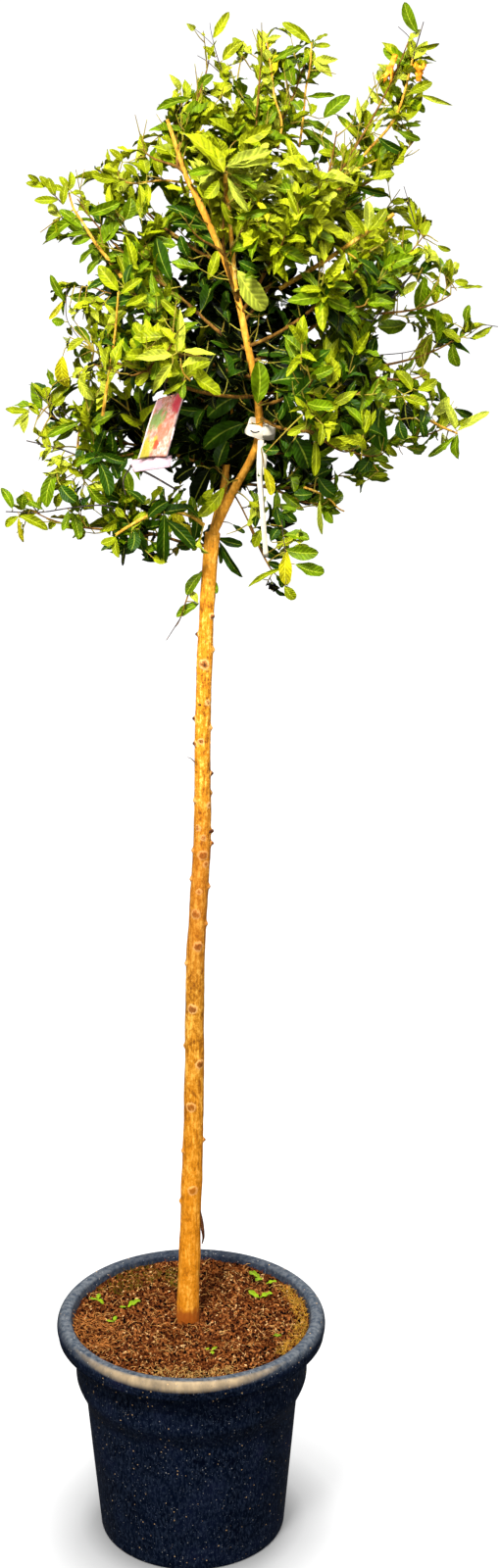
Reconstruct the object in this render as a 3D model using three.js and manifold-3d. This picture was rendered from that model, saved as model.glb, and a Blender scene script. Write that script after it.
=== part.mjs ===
// A pomegranate grown as a standard in a nursery pot: a rolled-rim pot, a tall clear stem, a fork,
// and a round, open crown of leafy shoots. Millimetres, +Z up. The origin is the centre of the
// pot's flat underside, the front of the plant faces -Y, and +X is to its right.

import * as THREE from 'three';
import { mergeVertices } from 'three/addons/utils/BufferGeometryUtils.js';
import Module from 'manifold-3d';

// ---------- driving dimensions ----------

const gap = 0.3; // between pieces that touch
const finest = 0.1; // edges shorter than this are merged away where pieces are joined

const pot = {
	height: 355,
	rimRadius: 200, // outside of the rolled rim
	rimCrestRadius: 189,
	rimDepth: 31, // from the crest down to the rim's lower edge
	mouthRadius: 178,
	collarRadius: 173,
	collarFoot: 262, // where the collar starts to draw in
	bodyTop: 212,
	bodyRadius: 157.5,
	footRadius: 139.7,
	footRounding: 4,
	mouthDrop: 5, // from the crest down to the mouth's edge
	lipFillet: 4, // where the rolled rim meets the collar
	wall: 3,
	floor: 4,
	segments: 32,
};

const mix = {
	crown: 344,
	flatRadius: 42,
	slopeRadius: 84,
	slopeDrop: 1.2,
	edge: 340,
	edgeRun: 14, // from the wall in to where the surface has risen by edgeRise
	edgeRise: 1.8,
	clearance: 0.8, // flats of the turned wall come nearer than its corners
};

const stem = {
	path: [ [ - 6, - 3, mix.crown - 6 ], [ 1, 1, 525 ], [ 7, 4, 724 ], [ 10, 7, 915 ], [ 21, 10, 1115 ],
		[ 22, 12, 1245 ], [ 30, 15, 1455 ], [ 37, 15, 1542 ] ],
	footRadius: 16.2,
	headRadius: 11.4,
	flare: 1.6, // added at the foot, gone one flareHeight higher
	flareHeight: 45,
	forkSwell: 1.8,
	quickening: 1.25, // the head's radius is reached this much before the head
	sides: 10,
	steps: 20,
};

// Pruned side shoots leave studs up the clear stem, on three faces of it.
const studs = {
	reach: 4.6, // past the bark
	radius: 4.2,
	footShare: 1.25, // of the radius, where it leaves the bark
	tipShare: 0.55,
	sunkShare: 0.5, // of the stem's radius
	scatter: 18, // degrees either side of its bearing
	least: 0.6, // of the reach
	most: 1.15,
	sides: 4,
	faces: [
		{ bearing: 180, heights: [ 535, 785, 963, 1083, 1241, 1401 ] },
		{ bearing: 0, heights: [ 636, 874, 1114, 1200, 1377 ] },
		{ bearing: 270, heights: [ 560, 691, 849, 997, 1250, 1363 ] },
	],
};

const limbSides = 6;
const twigSides = 3;

// The two limbs of the fork.
const leader = {
	name: 'leader',
	path: [ [ 37, 15, 1540 ], [ 62, 6, 1595 ], [ 98, - 23, 1676 ], [ 97, - 42, 1740 ], [ 84, - 55, 1810 ],
		[ 69, - 60, 1880 ], [ 30, - 60, 1975 ], [ 7, - 55, 2021 ] ],
	radii: [ 8.6, 3.2 ],
	steps: 16,
};

const backLimb = {
	name: 'back_limb',
	path: [ [ 37, 15, 1540 ], [ 50, 24, 1590 ], [ 57, 36, 1640 ], [ 62, 62, 1720 ], [ 66, 92, 1800 ] ],
	radii: [ 8.8, 3.2 ],
	steps: 10,
};

// Each mass of foliage grows from the tip of its own bough. A bough leaves its parent at the height
// "from" and runs a share of the way to the middle of the mass's "reach", the furthest points of the
// twigs that the mass runs on in. "spread" is how far the side shoots stand out from those.
const crown = [
	{ name: 'summit', parent: 'leader', spread: 62,
		reach: [ [ - 78, - 25, 2070 ], [ - 12, 20, 2128 ], [ 46, - 5, 2194 ] ] },
	{ name: 'front_high', parent: 'leader', from: 1862, spread: 62,
		reach: [ [ 56, - 152, 2072 ], [ - 10, - 150, 1990 ] ] },
	{ name: 'top', parent: 'leader', from: 1905, spread: 60,
		reach: [ [ 106, - 20, 2204 ], [ 172, 15, 2186 ], [ 110, 60, 2100 ] ] },
	{ name: 'high_right', parent: 'leader', from: 1838, spread: 56,
		reach: [ [ 306, 0, 2214 ], [ 330, 12, 2086 ], [ 206, - 30, 2110 ] ],
		blossoms: [ { foot: [ 302, - 10, 2135 ], mouth: [ 302, - 10, 2154 ] },
			{ foot: [ 271, - 22, 2168 ], mouth: [ 260, - 22, 2139 ] } ] },
	{ name: 'front_up', parent: 'leader', from: 1850, spread: 62,
		reach: [ [ 142, - 192, 1990 ], [ 196, - 120, 2050 ] ] },
	{ name: 'right', parent: 'leader', from: 1806, spread: 62, share: 0.45,
		reach: [ [ 268, - 118, 1970 ], [ 262, - 176, 1880 ] ] },
	{ name: 'far_right_high', parent: 'leader', from: 1785, spread: 60,
		reach: [ [ 342, 25, 1960 ], [ 384, - 8, 1872 ], [ 270, 30, 1890 ] ] },
	{ name: 'far_right', parent: 'leader', from: 1742, spread: 60,
		reach: [ [ 404, 45, 1818 ], [ 352, - 66, 1772 ] ] },
	{ name: 'front_right', parent: 'leader', from: 1728, spread: 60,
		reach: [ [ 176, - 215, 1800 ], [ 262, - 140, 1764 ] ] },
	{ name: 'far_right_low', parent: 'leader', from: 1656, spread: 56,
		reach: [ [ 388, - 20, 1702 ], [ 290, - 96, 1668 ], [ 236, 30, 1706 ] ] },
	{ name: 'low_right', parent: 'back_limb', from: 1604, spread: 52,
		reach: [ [ 216, - 10, 1580 ], [ 248, 72, 1620 ] ] },
	{ name: 'hanging', parent: 'leader', from: 1600, spread: 34, reach: [ [ 140, - 30, 1462 ] ] },
	{ name: 'low_left', parent: 'stem', from: 1524, spread: 46,
		reach: [ [ - 240, - 20, 1590 ], [ - 98, - 72, 1545 ], [ - 118, 56, 1560 ] ] },
	{ name: 'left', parent: 'back_limb', from: 1632, spread: 58,
		reach: [ [ - 222, 0, 1726 ], [ - 150, - 70, 1672 ], [ - 90, 20, 1640 ] ] },
	{ name: 'left_high', parent: 'leader', from: 1800, spread: 60,
		reach: [ [ - 160, - 18, 2014 ], [ - 156, 22, 1880 ], [ - 80, 0, 1960 ] ] },
	{ name: 'left_front', parent: 'leader', from: 1764, spread: 58,
		reach: [ [ - 82, - 125, 1908 ], [ - 146, - 118, 1790 ] ] },
	{ name: 'front_low', parent: 'leader', from: 1738, spread: 56, tip: [ - 34, - 170, 1790 ],
		reach: [ [ 8, - 238, 1868 ], [ - 92, - 226, 1800 ] ] },
	{ name: 'front_middle', parent: 'leader', from: 1709, spread: 52, share: 0.55,
		reach: [ [ 240, - 196, 1684 ], [ 178, - 226, 1738 ] ] },
	{ name: 'back', parent: 'back_limb', spread: 66,
		reach: [ [ 66, 262, 1878 ], [ 0, 190, 1940 ], [ 136, 176, 1950 ] ] },
	{ name: 'back_top', parent: 'back_limb', from: 1772, spread: 64,
		reach: [ [ 96, 160, 2100 ], [ 10, 118, 2066 ] ] },
	{ name: 'back_left', parent: 'back_limb', from: 1690, spread: 64,
		reach: [ [ - 138, 176, 1812 ], [ - 70, 240, 1744 ] ] },
	{ name: 'back_right', parent: 'back_limb', from: 1712, spread: 64,
		reach: [ [ 232, 222, 1826 ], [ 304, 132, 1768 ] ] },
	{ name: 'back_low', parent: 'back_limb', from: 1618, spread: 60,
		reach: [ [ 52, 256, 1646 ], [ - 46, 190, 1622 ], [ 142, 186, 1616 ] ] },
	{ name: 'upper_right', parent: 'leader', from: 1868, spread: 62,
		reach: [ [ 228, 140, 2044 ], [ 296, 110, 1960 ] ] },
	{ name: 'upper_left', parent: 'leader', from: 1915, spread: 62,
		reach: [ [ - 92, 122, 2010 ], [ - 134, 90, 1930 ] ] },
	{ name: 'stem_sprig', parent: 'stem', seat: { height: 1492, bearing: 190 }, spread: 26, leafSize: 0.5,
		reach: [ [ - 28, - 4, 1392 ] ] },
];

const bough = {
	share: 0.3,
	baseRadius: 4.4,
	tipRadius: 2.9,
	ofParent: 0.8, // the most that its radius may be of its parent's
	steps: 3,
	sides: 4,
	sag: 0.1,
};
const twig = {
	stemRadius: 2.8,
	lobeSteps: 3,
	shootRadius: 0.5, // inside the twig it grows from
	tipRadius: 1.3,
	nodeSpacing: 105,
	shootAngle: 56,
	turn: 137.5, // degrees round the twig from one shoot to the next
	lift: 0.2,
	leastSpread: 0.7, // of the mass's spread
	shootsFrom: 0.2, // of the lobe's length
	shootsTo: 0.7,
	forkAt: 0.12,
	forkTurn: 0.3, // how far a fork keeps the first lobe's direction
	straightOff: 0.25, // of its length, before a lobe bends
	bendFrom: 0.3,
	bendDrop: 0.12,
	shortOfReach: 0.7, // in leaf lengths
};

// A dried calyx: a bell on a short stalk, open at its mouth.
const blossom = {
	profile: [ [ 0, 0 ], [ 2.6, 0.1 ], [ 4, 0.4 ], [ 4.4, 0.7 ], [ 5.6, 1 ], [ 3.4, 0.8 ], [ 0, 0.7 ] ], // share up
	sides: 6,
	stalkSunk: 1.5, // into the bell
	belowTip: 4, // in sample steps, where its stalk leaves the lobe
};

const leaf = {
	length: 80,
	width: 34,
	thickness: 2.2,
	widest: 0.45, // of the way along
	thickest: 0.1,
	spacing: 38,
	pairsShare: 0.7, // of a lobe's length that is given to pairs
	pairsFrom: 0.9,
	pairsTo: 0.2,
	pairStart: 0.2, // of one spacing
	shootPair: 0.7, // of the way along a side shoot
	tipAt: 0.98,
	angle: 52,
	tipAngle: 4,
	least: 0.88, // of the mass's own size
	most: 1.06,
	sunk: 0.5,
	stagger: 0.02, // of the twig's length
	apart: 5.5,
	tries: 5,
	shift: 0.6, // radians round the twig from one try to the next
	faceOut: 0.5,
	faceUp: 0.25,
	faceFront: 0.6,
	faceSpread: 0.4,
	sampleRows: [ 0.12, 0.24, 0.36, 0.48, 0.6, 0.72, 0.84, 1 ],
};

const space = { betweenMasses: 1.5, toLimbs: 6, sampleStep: 9 };
const seatShare = 0.9; // of the stem's radius, where a sprig starts on its side

const label = {
	width: 40,
	height: 92,
	thickness: 1.2,
	neckWidth: 9,
	neckLength: 16,
	eyeRadius: 6,
	eyeWall: 2.4,
	slack: 1.7, // between the eye and the top of the bough, which slopes through it
	tilt: 15, // degrees in its own plane
	along: 0.86, // of the way up its bough
	turn: 24,
};

const tie = {
	height: 1690, // on the leader
	depth: 17,
	wall: 1.5,
	flap: [ 16, 13, 1.6 ],
	flapLean: 0.28, // radians
	flapSide: 0.55, // of the band's radius, out from its middle
	flapFront: 0.8,
	over: 0.8, // the band stands this far over the tape's own wall
	sides: 8,
	tailWidth: 8,
	tailThickness: 1.2,
	tails: [
		[ [ 101, - 35, 1688 ], [ 98, - 46, 1645 ], [ 107, - 48, 1590 ], [ 110, - 42, 1522 ] ],
		[ [ 105, - 33, 1688 ], [ 112, - 43, 1660 ], [ 117, - 46, 1630 ] ],
	],
};

const colours = {
	pot: 0x1b1d26,
	mix: 0x4a3020,
	bark: 0xb5792c,
	bough: 0xa07634,
	leaf: 0x7ba32a,
	label: 0xd98a8a,
	tape: 0xf2f2ee,
};

// ---------- solids ----------

const wasm = await Module();
wasm.setup();

function solidOf( geometry ) {

	const plain = geometry.clone();
	plain.deleteAttribute( 'normal' );
	plain.deleteAttribute( 'uv' );
	const merged = mergeVertices( plain, 1e-4 );
	const corners = merged.index.array;
	const triVerts = [];
	for ( let i = 0; i < corners.length; i += 3 ) {

		const [ a, b, c ] = [ corners[ i ], corners[ i + 1 ], corners[ i + 2 ] ];
		if ( a !== b && b !== c && c !== a ) triVerts.push( a, b, c );

	}

	return new wasm.Manifold( new wasm.Mesh( {
		numProp: 3,
		vertProperties: new Float32Array( merged.attributes.position.array ),
		triVerts: new Uint32Array( triVerts ),
	} ) );

}

function geometryOf( solid ) {

	const mesh = solid.getMesh();
	const geometry = new THREE.BufferGeometry();
	geometry.setAttribute( 'position', new THREE.BufferAttribute( mesh.vertProperties, 3 ) );
	geometry.setIndex( new THREE.BufferAttribute( mesh.triVerts, 1 ) );
	return geometry;

}

// Joins the solids and keeps the largest piece, so that no scrap stays loose.
function fused( solids ) {

	const bodies = wasm.Manifold.union( solids ).simplify( finest ).decompose();
	return bodies.sort( ( a, b ) => b.volume() - a.volume() )[ 0 ];

}

// A cylinder bent along a curve, with its radius set by how far along it is. Where a heading is given,
// the first end is cut square to it.
function limbGeometry( { curve, radiusAt, sides, steps, heading } ) {

	const geometry = new THREE.CylinderGeometry( 1, 1, 1, sides, steps );
	const frames = curve.computeFrenetFrames( steps );
	if ( heading ) {

		const turn = new THREE.Quaternion().setFromUnitVectors( frames.tangents[ 0 ], heading );
		frames.normals[ 0 ].applyQuaternion( turn );
		frames.binormals[ 0 ].applyQuaternion( turn );

	}

	const position = geometry.attributes.position;
	for ( let i = 0; i < position.count; i ++ ) {

		const ring = Math.round( ( position.getY( i ) + 0.5 ) * steps );
		const radius = radiusAt( ring / steps );
		const point = curve.getPointAt( ring / steps );
		point.addScaledVector( frames.normals[ ring ], position.getX( i ) * radius );
		point.addScaledVector( frames.binormals[ ring ], - position.getZ( i ) * radius );
		position.setXYZ( i, point.x, point.y, point.z );

	}

	return geometry;

}

const vectors = ( points ) => points.map( ( point ) => new THREE.Vector3( ...point ) );
const between = ( from, to ) => ( along ) => THREE.MathUtils.lerp( from, to, along );
const zAxis = new THREE.Vector3( 0, 0, 1 );
const bearingVector = ( degrees ) =>
	new THREE.Vector3( 1, 0, 0 ).applyAxisAngle( zAxis, THREE.MathUtils.degToRad( degrees ) );
const random = () => THREE.MathUtils.seededRandom();
const spreadOf = ( low, high ) => low + ( high - low ) * random();

// ---------- pot and potting mix ----------

function arc( centreR, centreZ, radiusR, radiusZ, fromDegrees, toDegrees, steps ) {

	return Array.from( { length: steps + 1 }, ( _, i ) => {

		const angle = THREE.MathUtils.degToRad( THREE.MathUtils.lerp( fromDegrees, toDegrees, i / steps ) );
		return new THREE.Vector2( centreR + Math.cos( angle ) * radiusR, centreZ + Math.sin( angle ) * radiusZ );

	} );

}

function innerRadius( z ) {

	const { floor, footRadius, bodyRadius, bodyTop, collarRadius, collarFoot, wall } = pot;
	const { mapLinear } = THREE.MathUtils;
	const rimFoot = pot.height - pot.rimDepth;
	const mouth = pot.height - pot.mouthDrop;
	if ( z > rimFoot ) return mapLinear( z, rimFoot, mouth, collarRadius - wall, pot.mouthRadius );
	if ( z > collarFoot ) return collarRadius - wall;
	if ( z > bodyTop ) return mapLinear( z, bodyTop, collarFoot, bodyRadius, collarRadius ) - wall;
	return mapLinear( z, floor, bodyTop, footRadius, bodyRadius ) - wall;

}

function potGeometry() {

	const { height, rimRadius, rimCrestRadius, rimDepth, mouthRadius, footRadius, footRounding, floor } = pot;
	const { collarRadius, collarFoot, bodyRadius, bodyTop, lipFillet, mouthDrop } = pot;
	const rimFoot = height - rimDepth;
	const rimMiddle = height - rimDepth / 2;
	const profile = [
		new THREE.Vector2( 0, 0 ),
		...arc( footRadius - footRounding, footRounding, footRounding, footRounding, - 90, 0, 1 ),
		new THREE.Vector2( bodyRadius, bodyTop ),
		...arc( bodyRadius, collarFoot, collarRadius - bodyRadius, collarFoot - bodyTop, - 60, 0, 2 ),
		new THREE.Vector2( collarRadius, rimFoot + lipFillet ),
		new THREE.Vector2( collarRadius + lipFillet, rimFoot ),
		new THREE.Vector2( rimRadius - lipFillet, rimFoot ),
		...arc( rimCrestRadius, rimMiddle, rimRadius - rimCrestRadius, rimDepth / 2, - 20, 90, 4 ),
		new THREE.Vector2( mouthRadius, height - mouthDrop ),
		new THREE.Vector2( innerRadius( rimFoot ), rimFoot ),
		new THREE.Vector2( innerRadius( collarFoot ), collarFoot ),
		new THREE.Vector2( innerRadius( bodyTop ), bodyTop ),
		new THREE.Vector2( innerRadius( floor ), floor ),
		new THREE.Vector2( 0, floor ),
	];
	return uprightLathe( profile, pot.segments );

}

// LatheGeometry turns about Y, so its result is stood up on Z.
function uprightLathe( profile, segments ) {

	return new THREE.LatheGeometry( profile, segments ).rotateX( Math.PI / 2 );

}

function mixGeometry() {

	const profile = [ new THREE.Vector2( 0, pot.floor + gap ) ];
	for ( const z of [ pot.floor + gap, pot.bodyTop, pot.collarFoot, pot.height - pot.rimDepth, mix.edge ] ) {

		profile.push( new THREE.Vector2( innerRadius( z ) - mix.clearance, z ) );

	}

	profile.push( new THREE.Vector2( innerRadius( mix.edge ) - mix.edgeRun, mix.edge + mix.edgeRise ) );
	profile.push( new THREE.Vector2( mix.slopeRadius, mix.crown - mix.slopeDrop ) );
	profile.push( new THREE.Vector2( mix.flatRadius, mix.crown ) );
	profile.push( new THREE.Vector2( 0, mix.crown ) );
	return uprightLathe( profile, pot.segments );

}

// ---------- stem ----------

function limbFrom( { name, path, radii, steps } ) {

	const curve = new THREE.CatmullRomCurve3( vectors( path ), false, 'centripetal' );
	return { name, curve, radiusAt: between( ...radii ), steps, sides: limbSides };

}

function stemLimb() {

	const curve = new THREE.CatmullRomCurve3( vectors( stem.path ), false, 'centripetal' );
	const length = curve.getLength();
	const radiusAt = ( along ) => {

		const taper = between( stem.footRadius, stem.headRadius )( Math.min( 1, along * stem.quickening ) );
		const flare = stem.flare * Math.max( 0, 1 - along * length / stem.flareHeight );
		const swell = stem.forkSwell * Math.max( 0, 1 - ( 1 - along ) * length / stem.flareHeight );
		return taper + flare + swell;

	};

	return { name: 'stem', curve, radiusAt, steps: stem.steps, sides: stem.sides };

}

// How far along a rising limb it passes a height.
function alongAtHeight( limb, height ) {

	let [ low, high ] = [ 0, 1 ];
	for ( let i = 0; i < 20; i ++ ) {

		const middle = ( low + high ) / 2;
		if ( limb.curve.getPointAt( middle ).z < height ) low = middle;
		else high = middle;

	}

	return low;

}

// The limb, or what is cut out of its neighbours to keep them a growth away from it.
function limbSolid( limb, growth = 0 ) {

	return solidOf( limbGeometry( { ...limb, radiusAt: ( along ) => limb.radiusAt( along ) + growth } ) );

}

function studSolids( limb ) {

	return studs.faces.flatMap( ( { bearing, heights } ) => heights.map( ( height ) => {

		const along = alongAtHeight( limb, height );
		const outward = bearingVector( bearing + spreadOf( - studs.scatter, studs.scatter ) );
		const reach = studs.reach * spreadOf( studs.least, studs.most );
		const sunk = limb.radiusAt( along ) * studs.sunkShare;
		const [ tip, foot ] = [ studs.radius * studs.tipShare, studs.radius * studs.footShare ];
		const stud = new THREE.CylinderGeometry( tip, foot, sunk + reach, studs.sides );
		stud.rotateX( Math.PI / 2 ).translate( 0, 0, sunk + ( sunk + reach ) / 2 );
		stud.applyQuaternion( new THREE.Quaternion().setFromUnitVectors( zAxis, outward ) );
		return solidOf( stud.translate( ...limb.curve.getPointAt( along ) ) );

	} ) );

}

// ---------- boughs ----------

function boughLimb( row, parent ) {

	const start = parent.curve.getPointAt( alongAtHeight( parent, row.from ) );
	const middleOfReach = new THREE.Vector3();
	for ( const reach of vectors( row.reach ) ) middleOfReach.addScaledVector( reach, 1 / row.reach.length );
	const reached = start.clone().lerp( middleOfReach, row.share ?? bough.share );
	const tip = row.tip ? new THREE.Vector3( ...row.tip ) : reached;
	const middle = start.clone().lerp( tip, 0.5 );
	middle.z -= start.distanceTo( tip ) * bough.sag * Math.sign( tip.z - start.z );
	const parentRadius = parent.radiusAt( alongAtHeight( parent, row.from ) );
	return {
		name: row.name + '_bough',
		curve: new THREE.QuadraticBezierCurve3( start, middle, tip ),
		radiusAt: between( Math.min( bough.baseRadius, parentRadius * bough.ofParent ), bough.tipRadius ),
		steps: bough.steps,
		sides: bough.sides,
	};

}

// ---------- foliage ----------

const crownMiddle = new THREE.Vector3( 85, 0, 1780 );
const firstSeed = 100;

// The middle line of one lobe of a mass: it sets off along its heading, then rises, and ends a leaf
// short of its reach. It is made of straight lengths, so that what grows from it is seated in it.
function lobeCurve( start, heading, reach, leafLength ) {

	const length = start.distanceTo( reach );
	const end = reach.clone().lerp( start, leafLength * twig.shortOfReach / length );
	const leaving = start.clone().addScaledVector( heading, length * twig.straightOff );
	const drop = - length * twig.bendDrop;
	const arriving = end.clone().lerp( start, twig.bendFrom ).addScaledVector( zAxis, drop );
	const bends = new THREE.CubicBezierCurve3( start, leaving, arriving, end ).getSpacedPoints( twig.lobeSteps );
	const lobe = new THREE.CurvePath();
	for ( let i = 0; i < twig.lobeSteps; i ++ ) lobe.add( new THREE.LineCurve3( bends[ i ], bends[ i + 1 ] ) );
	return lobe;

}

// The first lobe grows from the bough's tip, and the others fork from the first, one after another.
function lobeCurves( start, heading, reaches, leafLength ) {

	const first = lobeCurve( start, heading, reaches[ 0 ], leafLength );
	const others = reaches.slice( 1 ).map( ( reach, i ) => {

		const fork = first.getPointAt( twig.forkAt * ( i + 1 ) );
		const towards = reach.clone().sub( fork ).normalize();
		const leaving = towards.lerp( first.getTangentAt( twig.forkAt * ( i + 1 ) ), twig.forkTurn ).normalize();
		return lobeCurve( fork, leaving, reach, leafLength );

	} );
	return [ first, ...others ];

}

function pointsAlong( curve ) {

	return curve.getSpacedPoints( Math.max( 2, Math.ceil( curve.getLength() / space.sampleStep ) ) );

}

function nearest( point, points ) {

	return points.reduce( ( best, other ) => Math.min( best, point.distanceToSquared( other ) ), Infinity );

}

// True where all the points lie nearer this mass's twigs than any other's, and clear of every limb.
function insideSpace( points, mass, masses, obstacles ) {

	return points.every( ( point ) => {

		const own = Math.sqrt( nearest( point, mass.line ) ) + space.betweenMasses;
		if ( masses.some( ( other ) => other !== mass && nearest( point, other.line ) < own * own ) ) return false;
		return obstacles.every( ( ball ) => point.distanceTo( ball.centre ) > ball.radius + space.toLimbs );

	} );

}

function obstacleBalls( limb ) {

	const count = Math.ceil( limb.curve.getLength() / space.sampleStep );
	const centres = limb.curve.getSpacedPoints( count );
	return centres.map( ( centre, i ) => ( { centre, radius: limb.radiusAt( i / count ) } ) );

}

// A leaf is a six-faced blade along +X, flat below and ridged above. Its root is the origin. It starts
// as a three-sided cone: the apex is the root, the middle of the base is the tip, and the base's three
// corners are the two sides and the ridge.
function leafGeometry( size ) {

	const corners = [ [ leaf.widest, 1, 0 ], [ leaf.widest, - 1, 0 ], [ leaf.thickest, 0, 1 ] ];
	const geometry = new THREE.ConeGeometry( 1, 1, 3, 1 );
	const position = geometry.attributes.position;
	for ( let i = 0; i < position.count; i ++ ) {

		const [ across, ahead ] = [ position.getX( i ), position.getZ( i ) ];
		const isAxis = Math.hypot( across, ahead ) < 0.5;
		const corner = Math.round( Math.atan2( across, ahead ) / ( Math.PI * 2 / 3 ) + 3 ) % 3;
		const [ along, side, up ] = isAxis ? [ position.getY( i ) < 0 ? 1 : 0, 0, 0 ] : corners[ corner ];
		position.setXYZ( i, along * leaf.length, side * leaf.width / 2, up * leaf.thickness );

	}

	return geometry.scale( size, size, 1 );

}

function leafPlacement( root, direction, face ) {

	const side = new THREE.Vector3().crossVectors( face, direction ).normalize();
	const up = new THREE.Vector3().crossVectors( direction, side );
	return new THREE.Matrix4().makeBasis( direction, side, up ).setPosition( root );

}

// Points all over a leaf's blade, for testing what it would touch.
function leafSamples( placement, size ) {

	const points = [];
	for ( const along of leaf.sampleRows ) {

		const halfWidth = along < leaf.widest ? along / leaf.widest : ( 1 - along ) / ( 1 - leaf.widest );
		for ( const across of [ - 0.5, 0, 0.5 ] ) {

			const point = new THREE.Vector3( along * leaf.length, across * halfWidth * leaf.width, 0 );
			points.push( point.multiplyScalar( size ).applyMatrix4( placement ) );

		}

	}

	return points;

}

// A frame across a shoot: its direction and two directions square to it.
function acrossFrame( direction ) {

	const helper = Math.abs( direction.z ) > 0.9 ? new THREE.Vector3( 1, 0, 0 ) : zAxis;
	const side = new THREE.Vector3().crossVectors( direction, helper ).normalize();
	return { side, other: new THREE.Vector3().crossVectors( side, direction ) };

}

// A direction that leans away from a shoot by an angle, on the bearing given round it.
function leaning( direction, turn, angle ) {

	const { side, other } = acrossFrame( direction );
	const out = side.multiplyScalar( Math.cos( turn ) ).addScaledVector( other, Math.sin( turn ) );
	const lean = THREE.MathUtils.degToRad( angle );
	return direction.clone().multiplyScalar( Math.cos( lean ) ).addScaledVector( out, Math.sin( lean ) );

}

// Where a leaf would lie: its face looks outward, to the front or the back of the plant, and up.
function leafPlace( curve, along, turn, angle ) {

	const direction = leaning( curve.getTangentAt( along ), turn, angle );
	const root = curve.getPointAt( along );
	const face = root.clone().sub( crownMiddle ).setLength( leaf.faceOut ).addScaledVector( zAxis, leaf.faceUp );
	face.y += root.y < crownMiddle.y ? - leaf.faceFront : leaf.faceFront;
	face.x += spreadOf( - 1, 1 ) * leaf.faceSpread;
	face.y += spreadOf( - 1, 1 ) * leaf.faceSpread;
	return leafPlacement( root.addScaledVector( direction, - leaf.sunk ), direction, face );

}

// A leaf at the tip, and pairs of them at places along the twig, each pair a quarter turn on. The two
// leaves of a pair stand on opposite sides, one a little lower.
function leavesAt( places ) {

	const pairs = places.flatMap( ( along, i ) => [ 0, 1 ].map( ( side ) =>
		( { along: along - side * leaf.stagger, turn: side * Math.PI + i * Math.PI / 2, angle: leaf.angle } ) ) );
	return [ { along: leaf.tipAt, turn: 0, angle: leaf.tipAngle }, ...pairs ];

}

function blossomGeometry( foot, mouth ) {

	const axis = mouth.clone().sub( foot );
	const length = axis.length();
	const profile = blossom.profile.map( ( [ radius, share ] ) => new THREE.Vector2( radius, share * length ) );
	const turn = new THREE.Quaternion().setFromUnitVectors( zAxis, axis.normalize() );
	return uprightLathe( profile, blossom.sides ).applyQuaternion( turn ).translate( ...foot );

}

// Lays out the twigs of one mass: one to each reach, and side shoots that turn round those.
function layTwigs( mass, masses, obstacles ) {

	THREE.MathUtils.seededRandom( mass.seed );
	const twigs = [];
	const add = ( curve, radius, steps, leaves, heading ) => {

		const limb = { curve, radiusAt: between( radius, twig.tipRadius ), steps, heading, sides: twigSides };
		twigs.push( { ...limb, leaves, points: pointsAlong( curve ) } );

	};

	for ( const [ index, lobe ] of mass.lobes.entries() ) {

		const pairs = Math.round( lobe.getLength() * leaf.pairsShare / leaf.spacing );
		const placeOf = ( _, i ) => between( leaf.pairsFrom, leaf.pairsTo )( ( i + leaf.pairStart ) / pairs );
		const places = Array.from( { length: pairs }, placeOf );
		add( lobe, twig.stemRadius, twig.lobeSteps, leavesAt( places ), index ? undefined : mass.heading );
		const nodes = Math.max( 2, Math.round( lobe.getLength() / twig.nodeSpacing ) );
		let turn = spreadOf( 0, Math.PI * 2 );
		for ( let i = 0; i < nodes; i ++ ) {

			const along = between( twig.shootsFrom, twig.shootsTo )( i / ( nodes - 1 ) );
			turn += THREE.MathUtils.degToRad( twig.turn );
			const direction = leaning( lobe.getTangentAt( along ), turn, twig.shootAngle );
			direction.addScaledVector( zAxis, twig.lift );
			const start = lobe.getPointAt( along );
			const reach = mass.spread * spreadOf( twig.leastSpread, 1 );
			const end = start.clone().addScaledVector( direction, reach );
			const shoot = new THREE.LineCurve3( start, end );
			if ( ! insideSpace( pointsAlong( shoot ).slice( 1 ), mass, masses, obstacles ) ) continue;
			add( shoot, twig.shootRadius, 1, leavesAt( [ leaf.shootPair ] ) );

		}

	}

	for ( const { foot, mouth } of mass.blossoms ) {

		const towards = mouth.clone().sub( foot ).setLength( blossom.stalkSunk );
		const distance = ( point ) => point.distanceTo( foot );
		const carrying = mass.lobes.flatMap( ( lobe ) => pointsAlong( lobe ).slice( 0, - blossom.belowTip ) );
		const [ start ] = carrying.sort( ( a, b ) => distance( a ) - distance( b ) );
		add( new THREE.LineCurve3( start, foot.clone().add( towards ) ), twig.shootRadius, 1, [] );

	}

	return twigs;

}

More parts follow.
